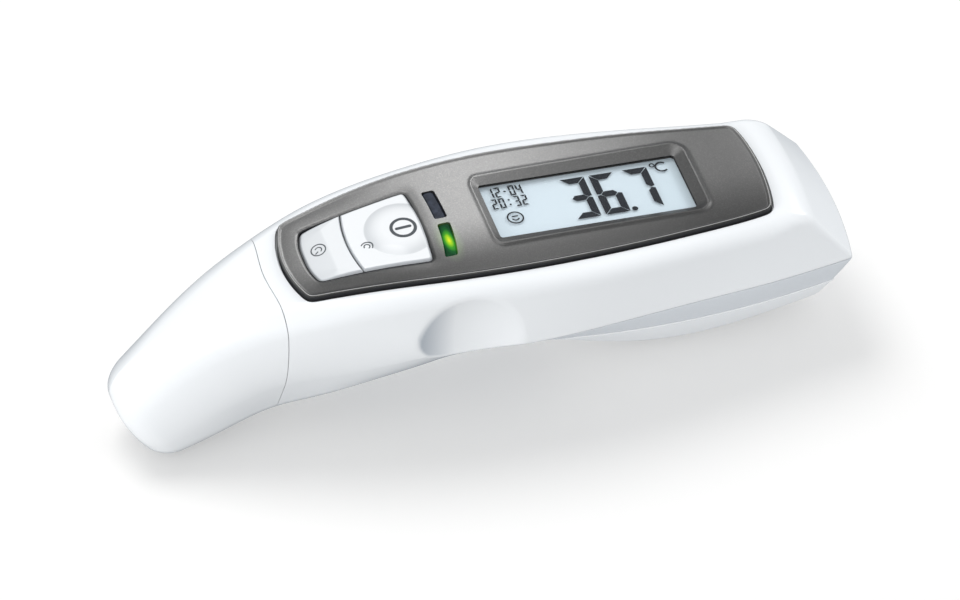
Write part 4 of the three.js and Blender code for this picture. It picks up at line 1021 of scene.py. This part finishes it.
# painted shade: a black web sunk in the gap round the buttons, a dark sheet standing in for the shade in that gap
gap_shade_web = common(cut(prism(offset(BUTTON_LINE, 0.03), 20, 60), prism(offset(BUTTON_LINE, 0.20), 10, 70)), top_slab(-0.7, 0.34))
gap_shade_web = join(gap_shade_web, common(prism([(JX(y, -0.06), y) for y in yy] + [(JX(y, -0.01), y) for y in yy[::-1]], 20, 60),
                       prism(offset(BUTTON_LINE, 0.15), 10, 70), top_slab(-0.7, 0.44)))
finish_piece(gap_shade_web, "button_gap_shade_web", "housing", [], rubber)


def decal(loops, surface, thick, name, body, material):
    """Printed mark: flat outlines in plan laid on a surface, with a very thin skin."""
    verts, faces = [], []
    for pts, hole in loops:
        k = len(pts)
        base = len(verts)
        allp = list(pts) + list(hole or [])
        P = np.array(allp, float)
        z = surface(P[:, 0], P[:, 1])
        for (x, y), h in zip(allp, z):
            verts.append((x, y, h + thick))
        n2 = len(allp)
        for (x, y), h in zip(allp, z):
            verts.append((x, y, h - thick * 4))
        if hole:                                                      # ring: both loops have the same count
            for i in range(k):
                j = (i + 1) % k
                faces += [(base + i, base + j, base + k + j, base + k + i),
                          (base + n2 + j, base + n2 + i, base + n2 + k + i, base + n2 + k + j),
                          (base + i, base + n2 + i, base + n2 + j, base + j),
                          (base + k + j, base + n2 + k + j, base + n2 + k + i, base + k + i)]
        else:
            faces.append(tuple(base + i for i in range(k)))
            faces.append(tuple(base + n2 + i for i in range(k))[::-1])
            for i in range(k):
                j = (i + 1) % k
                faces.append((base + i, base + n2 + i, base + n2 + j, base + j))
    me = bpy.data.meshes.new(name)
    me.from_pydata(verts, [], faces)
    me.validate()
    me.transform(Matrix.Scale(0.001, 4) @ Matrix.Translation((SHIFT, 0, 0)))
    me.materials.append(material)
    o = bpy.data.objects.new(name, me)
    bpy.context.scene.collection.objects.link(o)
    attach(o, body)
    return o


def ring_pts(cx, cy, r, n=72, a0=0.0, a1=360.0):
    return [(cx + r * math.cos(math.radians(a0 + (a1 - a0) * k / n)), cy + r * math.sin(math.radians(a0 + (a1 - a0) * k / n))) for k in range(n)]


def arc_band(cx, cy, r0, r1, a0, a1, n=24):
    o = [(cx + r1 * math.cos(math.radians(a)), cy + r1 * math.sin(math.radians(a))) for a in np.linspace(a0, a1, n)]
    i = [(cx + r0 * math.cos(math.radians(a)), cy + r0 * math.sin(math.radians(a))) for a in np.linspace(a1, a0, n)]
    return o + i


def capsule(cx, cy, hl, r, ang=0.0, n=8):
    pts = [(hl + r * math.cos(t), r * math.sin(t)) for t in np.linspace(-math.pi / 2, math.pi / 2, n)]
    pts += [(-hl + r * math.cos(t), r * math.sin(t)) for t in np.linspace(math.pi / 2, 3 * math.pi / 2, n)]
    c, s = math.cos(math.radians(ang)), math.sin(math.radians(ang))
    return [(cx + x * c - y * s, cy + x * s + y * c) for x, y in pts]


on_ear = lambda x, y: ear_look.at(ear_look.H, x, y)
on_fore = lambda x, y: fore_look.at(fore_look.H, x, y)
ic = (-35.24, -0.56)
decal([(ring_pts(*ic, 2.50), ring_pts(*ic, 1.90)), (capsule(*ic, 1.24, 0.32), None)], on_ear, 0.03, "scan_mark", "ear_button", print_dark)
ic = (-42.6, -2.2)
decal([(arc_band(*ic, 0.42, 0.64, -70, 200), None), (arc_band(*ic, 0.95, 1.17, -40, 150), None)], on_ear, 0.03, "side_mark", "ear_button", print_dark)
ic = (-50.88, 0.79)
decal([(ring_pts(*ic, 1.42), ring_pts(*ic, 1.20)), (arc_band(ic[0], ic[1], 0.50, 0.70, -60, 150), None), (capsule(ic[0] - 0.45, ic[1] - 0.55, 0.28, 0.11, 35), None)],
      on_fore, 0.03, "target_mark", "forehead_button", print_dark)

# ------------------------------------------------------------------ light windows
def led_window(s, name, node, material):
    bx, by = np.arange(-30.7, -26.0, 0.13), np.arange(0.2, 9.7, 0.13)
    if s < 0:
        by = -by[::-1]
    line = np.array(led_outline(s, 0.12))
    dist = signed_distance(line)
    A, B = np.meshgrid(bx, by, indexing="ij")
    H = topz(A, B) + PROUD - STEP - 0.50 + 0.34 * np.clip(1 - ((A - led_bow(s, B) + 27.75) / 1.35) ** 2, 0, 1) - round_edge(dist(A, B), 0.22, 0.8)
    me = slab(bx, by, 28.0, lambda x, y: H)
    me = cut(common(me, prism(line, 20, 60)), top_slab(-30, -4.9, -62, 37))
    return finish_piece(me, name, "housing", [node], material, [Lookup(bx, by, H).rule()])


def lit_material():
    m = Mat("lit_green_window")
    sep = m.node("SeparateXYZ")
    m.put(sep.inputs[0], m.co)
    x = m.math("MULTIPLY", m.math("SUBTRACT", sep.outputs[0], (-28.05 + SHIFT) / 1000), 1000.0)
    y = m.math("MULTIPLY", m.math("ADD", sep.outputs[1], 5.3 / 1000), 1000.0)
    wob = m.math("MULTIPLY", m.math("SUBTRACT", m.noise(900, 3, 0.6), 0.5), 0.9)
    d = m.math("SQRT", m.math("ADD", m.math("POWER", m.math("MULTIPLY", x, 1.3), 2.0), m.math("POWER", m.math("MULTIPLY", m.math("ADD", y, wob), 0.50), 2.0)))
    hot = m.math("SUBTRACT", 1.0, m.math("DIVIDE", d, 1.9), clamp=True)
    col = m.ramp(hot, [(0.0, (0.001, 0.022, 0.007)), (0.24, (0.004, 0.075, 0.011)), (0.50, (0.05, 0.32, 0.012)), (0.74, (0.34, 0.62, 0.008)), (1.0, (0.86, 0.82, 0.02))])
    m.principled(Base_Color=(0.003, 0.025, 0.008, 1), Roughness=0.16, Specular_IOR_Level=0.12, Coat_Weight=0.04, Coat_Roughness=0.06,
                 Emission_Color=col, Emission_Strength=1.05, Normal=m.bevel(0.1))
    return m.m


def dark_window_material():
    m = Mat("smoked_window")
    col = m.ramp(m.noise(700, 3, 0.6), [(0.3, (0.010, 0.013, 0.022)), (0.7, (0.028, 0.036, 0.058))])
    m.principled(Base_Color=col, Roughness=0.14, Coat_Weight=0.2, Coat_Roughness=0.05, Specular_IOR_Level=0.35, Normal=m.bevel(0.1))
    return m.m


led_window(1, "light_window_far", "led_window_red", dark_window_material())
led_window(-1, "light_window_near", "led_window_green", lit_material())

# ------------------------------------------------------------------ display
def window_material():
    m = Mat("clear_window")
    fres = m.node("Fresnel")
    fres.inputs["IOR"].default_value = 1.45
    tr, gl, mx = m.node("BsdfTransparent"), m.node("BsdfGlossy"), m.node("MixShader")
    gl.inputs["Roughness"].default_value = 0.03
    tr.inputs[0].default_value = (0.985, 0.99, 0.99, 1)
    haze = m.remap(m.noise(220, 3), 0.40, 0.55)
    geo = m.nt.nodes.new("ShaderNodeNewGeometry")
    front_only = m.math("SUBTRACT", 1.0, geo.outputs["Backfacing"])
    m.put(mx.inputs[0], m.math("MULTIPLY", m.math("MULTIPLY", fres.outputs[0], haze), front_only))
    m.nt.links.new(tr.outputs[0], mx.inputs[1])
    m.nt.links.new(gl.outputs[0], mx.inputs[2])
    m.nt.links.new(mx.outputs[0], m.out.inputs[0])
    return m.m


def place_tilted(me, name, nodes, material, angle=38):
    tilted(me)
    me = tidy(me)
    set_normals(me, (), angle)
    me.transform(Matrix.Scale(0.001, 4) @ Matrix.Translation((SHIFT, 0, 0)))
    o = bpy.data.objects.new(name, me)
    me.name = name
    bpy.context.scene.collection.objects.link(o)
    me.materials.clear()
    me.materials.append(material)
    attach(o, "housing")
    if nodes:
        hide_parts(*nodes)
    return o


place_tilted(prism(round_rect(-19.6, 19.9, -8.05, 8.05, 0.5), -0.12, 0.24), "window_pane", ["display_window"], window_material())

LCD_TOP = -0.95                              # pale rear face of the LCD
INK = -0.60                                  # the dark segments float above it


def lcd_material():
    m = Mat("lcd_pale_face")
    sep = m.node("SeparateXYZ")
    m.put(sep.inputs[0], m.co)
    g = m.math("MULTIPLY", m.math("ADD", sep.outputs[0], (20 - SHIFT) / 1000), 1000 / 40.0, clamp=True)
    base = m.ramp(g, [(0.0, (0.50, 0.57, 0.62)), (0.45, (0.51, 0.575, 0.62)), (1.0, (0.465, 0.535, 0.58))])
    spark = m.remap(m.noise(6000, 2), 0.97, 1.03)
    col = m.mix(1.0, base, spark, "MULTIPLY")
    m.principled(Base_Color=col, Roughness=0.35, Specular_IOR_Level=0.25, Emission_Color=col, Emission_Strength=0.28)
    return m.m


lcd_mat = lcd_material()
place_tilted(box(-19.9, 20.1, -8.6, 8.6, -2.35, LCD_TOP), "lcd_cell", ["lcd_glass"], lcd_mat)
ink = Mat("lcd_segment_ink")
ink.principled(Base_Color=ink.mix(ink.noise(900, 3), (0.008, 0.010, 0.014), (0.016, 0.019, 0.026)), Roughness=0.4, Specular_IOR_Level=0.2)


def segment_digit(ch, cx, cy, w, h, t, g):
    """Seven-segment figure with mitred ends; cx, cy is its middle."""
    on = {"0": "abcdef", "1": "bc", "2": "abged", "3": "abgcd", "4": "fgbc", "5": "afgcd", "6": "afgecd", "7": "abc", "8": "abcdefg", "9": "abcdfg", "-": "g"}[ch]
    x0, x1, y0, y1, ym = -w / 2, w / 2, -h / 2, h / 2, 0.0
    q = g / 2
    P = {
        "a": [(x0 + q, y1), (x1 - q, y1), (x1 - t - q, y1 - t), (x0 + t + q, y1 - t)],
        "d": [(x0 + q, y0), (x1 - q, y0), (x1 - t - q, y0 + t), (x0 + t + q, y0 + t)],
        "b": [(x1, y1 - q), (x1, ym + q + 0.12 * t), (x1 - t * 0.5, ym + q + 0.0 * t), (x1 - t, ym + t * 0.5 + q), (x1 - t, y1 - t - q)],
        "c": [(x1, y0 + q), (x1, ym - q - 0.12 * t), (x1 - t * 0.5, ym - q), (x1 - t, ym - t * 0.5 - q), (x1 - t, y0 + t + q)],
        "f": [(x0, y1 - q), (x0, ym + q + 0.12 * t), (x0 + t * 0.5, ym + q), (x0 + t, ym + t * 0.5 + q), (x0 + t, y1 - t - q)],
        "e": [(x0, y0 + q), (x0, ym - q - 0.12 * t), (x0 + t * 0.5, ym - q), (x0 + t, ym - t * 0.5 - q), (x0 + t, y0 + t + q)],
        "g": [(x0 + t * 0.5 + q, ym), (x0 + t + q * 0.4, ym + t * 0.5), (x1 - t - q * 0.4, ym + t * 0.5), (x1 - t * 0.5 - q, ym), (x1 - t - q * 0.4, ym - t * 0.5), (x0 + t + q * 0.4, ym - t * 0.5)],
    }
    return [[(cx + x, cy + y) for x, y in P[k]] for k in on]


K = 1.0237
dx, dy = 0.306 * -INK, 0.952 * -INK           # the ink lies below the face the layout was drawn on
marks = []
for ch, a, b in (("3", -3.45, 1.1), ("6", 2.0, 6.6), ("7", 8.25, 12.9)):
    marks += segment_digit(ch, (a + b) / 2 * K, 0.2 * K, (b - a) * K, 10.4 * K, 1.42, 0.20)
marks.append(ring_pts(7.55 * K, -4.55 * K, 0.56, 24))
for txt, x0, yc, wid in (("12-04", -17.25, 4.80, 6.7), ("20:32", -17.35, 1.95, 7.0)):
    step = wid / 5
    for i, ch in enumerate(txt):
        cx = (x0 + step * (i + 0.5)) * K
        if ch == ":":
            marks.append(ring_pts(cx, (yc + 0.6) * K, 0.21, 12))
            marks.append(ring_pts(cx, (yc - 0.6) * K, 0.21, 12))
        elif ch == "1":
            marks += segment_digit(ch, cx + 0.05, yc * K, 0.95, 2.6 * K, 0.34, 0.08)
        elif ch == "-":
            marks += segment_digit(ch, cx, yc * K, 1.0, 2.6 * K, 0.34, 0.08)
        else:
            marks += segment_digit(ch, cx, yc * K, 1.12, 2.6 * K, 0.34, 0.08)
rings = []
rings.append((ring_pts(14.05 * K, 5.5 * K, 0.56, 32), ring_pts(14.05 * K, 5.5 * K, 0.30, 32)))     # degree ring
marks.append(arc_band(15.7 * K, 4.8 * K, 0.98, 1.34, 48, 312, 30))                                  # C
rings.append((ring_pts(-14.1 * K, -2.1 * K, 1.6, 48), ring_pts(-14.1 * K, -2.1 * K, 1.30, 48)))   # round mark
marks.append(arc_band(-14.1 * K, -2.1 * K, 0.52, 0.80, 200, 340, 16))
marks.append(capsule(-14.1 * K, (-2.1 + 0.35) * K, 0.45, 0.15))


def flat_marks(loops, ringlist, z0, z1, name, material):
    verts, faces = [], []
    for pts in loops:
        b, k = len(verts), len(pts)
        area = sum(pts[i][0] * pts[(i + 1) % k][1] - pts[(i + 1) % k][0] * pts[i][1] for i in range(k))
        if area < 0:
            pts = pts[::-1]
        verts += [(x + dx, y + dy, z1) for x, y in pts] + [(x + dx, y + dy, z0) for x, y in pts]
        faces.append(tuple(range(b, b + k)))
        faces.append(tuple(range(b + k, b + 2 * k))[::-1])
        faces += [(b + i, b + k + i, b + k + (i + 1) % k, b + (i + 1) % k) for i in range(k)]
    for o, i_ in ringlist:
        b, k = len(verts), len(o)
        for z in (z1, z0):
            verts += [(x + dx, y + dy, z) for x, y in o] + [(x + dx, y + dy, z) for x, y in i_]
        for i in range(k):
            j = (i + 1) % k
            faces += [(b + i, b + j, b + k + j, b + k + i), (b + 2 * k + j, b + 2 * k + i, b + 3 * k + i, b + 3 * k + j),
                      (b + i, b + 2 * k + i, b + 2 * k + j, b + j), (b + k + j, b + 3 * k + j, b + 3 * k + i, b + k + i)]
    me = bpy.data.meshes.new(name)
    me.from_pydata(verts, [], faces)
    me.validate()
    me.transform(TILTED)
    me.transform(Matrix.Scale(0.001, 4) @ Matrix.Translation((SHIFT, 0, 0)))
    me.materials.append(material)
    o = bpy.data.objects.new(name, me)
    bpy.context.scene.collection.objects.link(o)
    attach(o, "housing")
    return o


flat_marks(marks, rings, INK - 0.02, INK, "lcd_segments", ink.m)

# ------------------------------------------------------------------ carried-over CAD nodes: finish and smooth shading
def board_material():
    m = Mat("solder_mask")
    mp = m.node("Mapping")
    m.put(mp.inputs["Vector"], m.co)
    mp.inputs["Scale"].default_value = (1, 1, 0.05)
    n = m.nt.nodes.new("ShaderNodeTexBrick")
    m.put(n.inputs["Vector"], mp.outputs[0])
    n.inputs["Scale"].default_value = 260
    n.inputs["Mortar Size"].default_value = 0.03
    n.inputs["Color1"].default_value = (0.012, 0.11, 0.045, 1)
    n.inputs["Color2"].default_value = (0.010, 0.09, 0.038, 1)
    n.inputs["Mortar"].default_value = (0.03, 0.20, 0.08, 1)
    m.principled(Base_Color=n.outputs[0], Roughness=0.32, Coat_Weight=0.3, Normal=m.bevel(0.08))
    return m.m


def cell_material():
    m = Mat("cell_sleeve")
    sep = m.node("SeparateXYZ")
    m.put(sep.inputs[0], m.co)
    g = m.math("DIVIDE", m.math("SUBTRACT", sep.outputs[0], (-6.6 + SHIFT) / 1000), 0.0444)
    col = m.ramp(g, [(0.0, (0.50, 0.50, 0.50)), (0.03, (0.02, 0.10, 0.06)), (0.60, (0.03, 0.14, 0.08)), (0.72, (0.65, 0.45, 0.12)), (0.97, (0.50, 0.50, 0.50))], "CONSTANT")
    m.principled(Base_Color=col, Roughness=m.remap(m.noise(400, 3), 0.22, 0.34), Metallic=0.45, Coat_Weight=0.3)
    return m.m


steel = metal("nickel_steel", "#c9cbcd", 0.24, (1, 8, 8))
CARRY = {
    "window_gasket": plastic("black_foam", (0.014, 0.014, 0.015), 0.8, grain=0.4, bevel=0.0),
    "lcd_backlight": plastic("light_guide", (0.74, 0.77, 0.79), 0.35, bevel=0.05),
    "lcd_frame": plastic("frame_plastic", (0.62, 0.62, 0.61), 0.5, grain=0.1),
    "zebra_strip": plastic("zebra_rubber", (0.35, 0.10, 0.06), 0.6, grain=0.2),
    "button_pad": plastic("silicone_pad", (0.48, 0.45, 0.41), 0.55, grain=0.2, bevel=0.1),
    "tact_switch_ear": plastic("switch_body", (0.02, 0.02, 0.022), 0.45, bevel=0.05),
    "microcontroller": plastic("chip_body", (0.012, 0.012, 0.013), 0.5, grain=0.3, bevel=0.05),
    "buzzer": plastic("buzzer_body", (0.016, 0.016, 0.017), 0.5, grain=0.2),
    "main_pcb": board_material(),
    "led_red": plastic("led_lens", (0.62, 0.58, 0.52), 0.2, bevel=0.05),
    "sensor_connector": plastic("connector_body", (0.72, 0.67, 0.55), 0.5, bevel=0.05),
    "probe_seal": plastic("seal_rubber", (0.30, 0.31, 0.32), 0.6, grain=0.2, bevel=0.0),
    "sensor_sleeve": metal("turned_brass", "#c79c50", 0.25, (8, 1, 1)),
    "sensor_window": plastic("infrared_window", (0.012, 0.013, 0.016), 0.06, coat=0.5, bevel=0.05),
    "probe_housing": plastic("nose_plastic", (0.52, 0.55, 0.58), 0.28, coat=0.2, bevel=0.12),
    "sensor_cable": plastic("cable_sleeve", (0.03, 0.03, 0.033), 0.5, grain=0.1, bevel=0.0),
    "battery_1": cell_material(),
    "thermopile_sensor": steel,
}
SAME = {"tact_switch_forehead": "tact_switch_ear", "led_green": "led_red", "battery_2": "battery_1"}
for name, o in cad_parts.items():
    m = CARRY.get(SAME.get(name, name), steel)
    o.data.materials.clear()
    o.data.materials.append(m)
    if o.hide_render:
        continue
    for p in o.data.polygons:
        p.use_smooth = True
        p.material_index = 0
    w = o.modifiers.new("weld", "WELD")
    w.merge_threshold = 2e-6
    e = o.modifiers.new("edges", "EDGE_SPLIT")
    e.split_angle = math.radians(34)

# ------------------------------------------------------------------ stage, light, camera
sc = bpy.context.scene
me = new_mesh([(-4, -4, 0), (4, -4, 0), (4, 6, 0), (-4, 6, 0)], [np.array([[0, 1, 2, 3]])], "floor")
fm = Mat("pale_floor")
pb = fm.principled(Base_Color=fm.mix(fm.noise(3, 2), (0.762, 0.752, 0.738), (0.772, 0.762, 0.748)), Roughness=0.9, Specular_IOR_Level=0.05,
                   Emission_Color=(1, 1, 1, 1), Emission_Strength=0.195)
lp, painted_dark_reflection, mx = fm.node("LightPath"), fm.node("Emission"), fm.node("MixShader")      # painted reflection: gloss rays see the floor as dark grey, in place of dark flags low round the set
painted_dark_reflection.inputs[0].default_value = (0.36, 0.39, 0.42, 1)
fm.put(mx.inputs[0], lp.outputs["Is Glossy Ray"])
fm.nt.links.new(pb.outputs[0], mx.inputs[1])
fm.nt.links.new(painted_dark_reflection.outputs[0], mx.inputs[2])
thru, mx2 = fm.node("BsdfTransparent"), fm.node("MixShader")                       # seen from underneath, the floor is clear
fm.put(mx2.inputs[0], fm.math("MULTIPLY", fm.node("NewGeometry").outputs["Backfacing"], lp.outputs["Is Camera Ray"]))
fm.nt.links.new(mx.outputs[0], mx2.inputs[1])
fm.nt.links.new(thru.outputs[0], mx2.inputs[2])
fm.nt.links.new(mx2.outputs[0], fm.out.inputs[0])
me.materials.append(fm.m)
floor = bpy.data.objects.new("floor", me)
floor.location.z = CAD_LO.z - 0.00002
sc.collection.objects.link(floor)


def area(name, loc, target, size, energy, color=(1, 1, 1), size_y=None, spread=None):
    L = bpy.data.lights.new(name, "AREA")
    L.shape = "RECTANGLE" if size_y else "DISK"
    L.size = size
    if size_y:
        L.size_y = size_y
    L.energy, L.color = energy, color
    if spread:
        L.spread = math.radians(spread)
    o = bpy.data.objects.new(name, L)
    o.location = loc
    o.rotation_mode = "QUATERNION"
    o.rotation_quaternion = (Vector(target) - Vector(loc)).to_track_quat("-Z", "Y")
    sc.collection.objects.link(o)
    return o


def lit_only(lamp, objects, name):
    """The lamp lights these objects alone."""
    c = bpy.data.collections.new(name)
    for o in objects:
        c.objects.link(o)
    lamp.light_linking.receiver_collection = c


mid = (0, 0, 0.02)
things = [o for o in sc.objects if o.type == "MESH" and o is not floor]
lit_only(area("key_back", (-0.16, 0.16, 0.97), mid, 0.55, 2.2), things, "lit_from_above")
lit_only(area("key_floor", (-0.21, 0.39, 0.955), mid, 0.58, 4.5), [floor], "lit_floor")
lit_only(area("key_left", (-0.93, -0.40, 0.42), mid, 0.42, 5.0), things, "lit_from_left")
lit_only(area("key_end", (0.76, 0.32, 0.56), mid, 0.40, 3.3), things, "lit_from_end")
bz = Vector(((SHIFT - 11) / 1000, 0.010, 0.037))
sheen = area("panel_sheen", bz + Vector((0.28, 0.71, 0.66)).normalized() * 0.22, bz, 0.10, 0.125)
panel = [o for o in things if o.name.startswith("control_panel")]
lit_only(sheen, panel, "lit_panel")
lit_only(area("slope_glint", bz + Vector((-0.12, 0.42, 0.88)) * 0.22, bz + Vector((0.012, 0, 0)), 0.10, 0.035), panel, "lit_slopes")
lit_only(area("edge_glint", bz + Vector((0.20, -0.29, 0.93)) * 0.32, bz, 0.12, 0.10), panel, "lit_edge")

w = bpy.data.worlds.new("studio")
sc.world = w
w.use_nodes = True
nt = w.node_tree
bg = nt.nodes["Background"] if "Background" in nt.nodes else nt.nodes.new("ShaderNodeBackground")
tc = nt.nodes.new("ShaderNodeTexCoord")
sep = nt.nodes.new("ShaderNodeSeparateXYZ")
rp = nt.nodes.new("ShaderNodeValToRGB")
mr = nt.nodes.new("ShaderNodeMapRange")
mr.inputs[1].default_value, mr.inputs[2].default_value = -1, 1
nt.links.new(tc.outputs["Generated"], sep.inputs[0])
nt.links.new(sep.outputs[2], mr.inputs[0])
nt.links.new(mr.outputs[0], rp.inputs[0])
el = rp.color_ramp.elements
el[0].position, el[0].color = 0.50, (0.635, 0.66, 0.69, 1)
el[1].position, el[1].color = 0.95, (0.79, 0.80, 0.81, 1)
rg = nt.nodes.new("ShaderNodeValToRGB")                    # what gloss sees: darker low down
nt.links.new(mr.outputs[0], rg.inputs[0])
eg = rg.color_ramp.elements
eg[0].position, eg[0].color = 0.50, (0.38, 0.40, 0.425, 1)
eg[1].position, eg[1].color = 0.86, (0.72, 0.73, 0.74, 1)
wlp, wmx = nt.nodes.new("ShaderNodeLightPath"), nt.nodes.new("ShaderNodeMix")
wmx.data_type = "RGBA"
nt.links.new(wlp.outputs["Is Glossy Ray"], wmx.inputs[0])
nt.links.new(rp.outputs[0], wmx.inputs[6])
nt.links.new(rg.outputs[0], wmx.inputs[7])
nt.links.new(wmx.outputs[2], bg.inputs[0])
bg.inputs[1].default_value = 1.0
outn = [n for n in nt.nodes if n.type == "OUTPUT_WORLD"]
outn = outn[0] if outn else nt.nodes.new("ShaderNodeOutputWorld")
nt.links.new(bg.outputs[0], outn.inputs[0])

TH, EL, PX = math.radians(17.8), math.radians(45), 5.50
right = Vector((math.cos(TH), -math.sin(TH), 0))
up = Vector((math.sin(TH) * math.sin(EL), math.cos(TH) * math.sin(EL), math.cos(EL)))
back = right.cross(up)
cam = bpy.data.objects.new("camera", bpy.data.cameras.new("camera"))
cam.data.type = "PERSP"
cam.data.lens, cam.data.sensor_width = 300, 36
cam.data.clip_start, cam.data.clip_end = 0.05, 20
dist = 300 / 36 * 960 / PX
target = Vector((SHIFT, 0, Z0)) + right * (-19.51) + up * (-18.65)
pos = (target + back * dist) * 0.001
cam.matrix_world = Matrix(((right.x, up.x, back.x, pos.x), (right.y, up.y, back.y, pos.y), (right.z, up.z, back.z, pos.z), (0, 0, 0, 1)))
sc.collection.objects.link(cam)
sc.camera = cam
sc.view_settings.view_transform = "Standard"
sc.view_settings.look = "None"

bpy.context.view_layer.update()
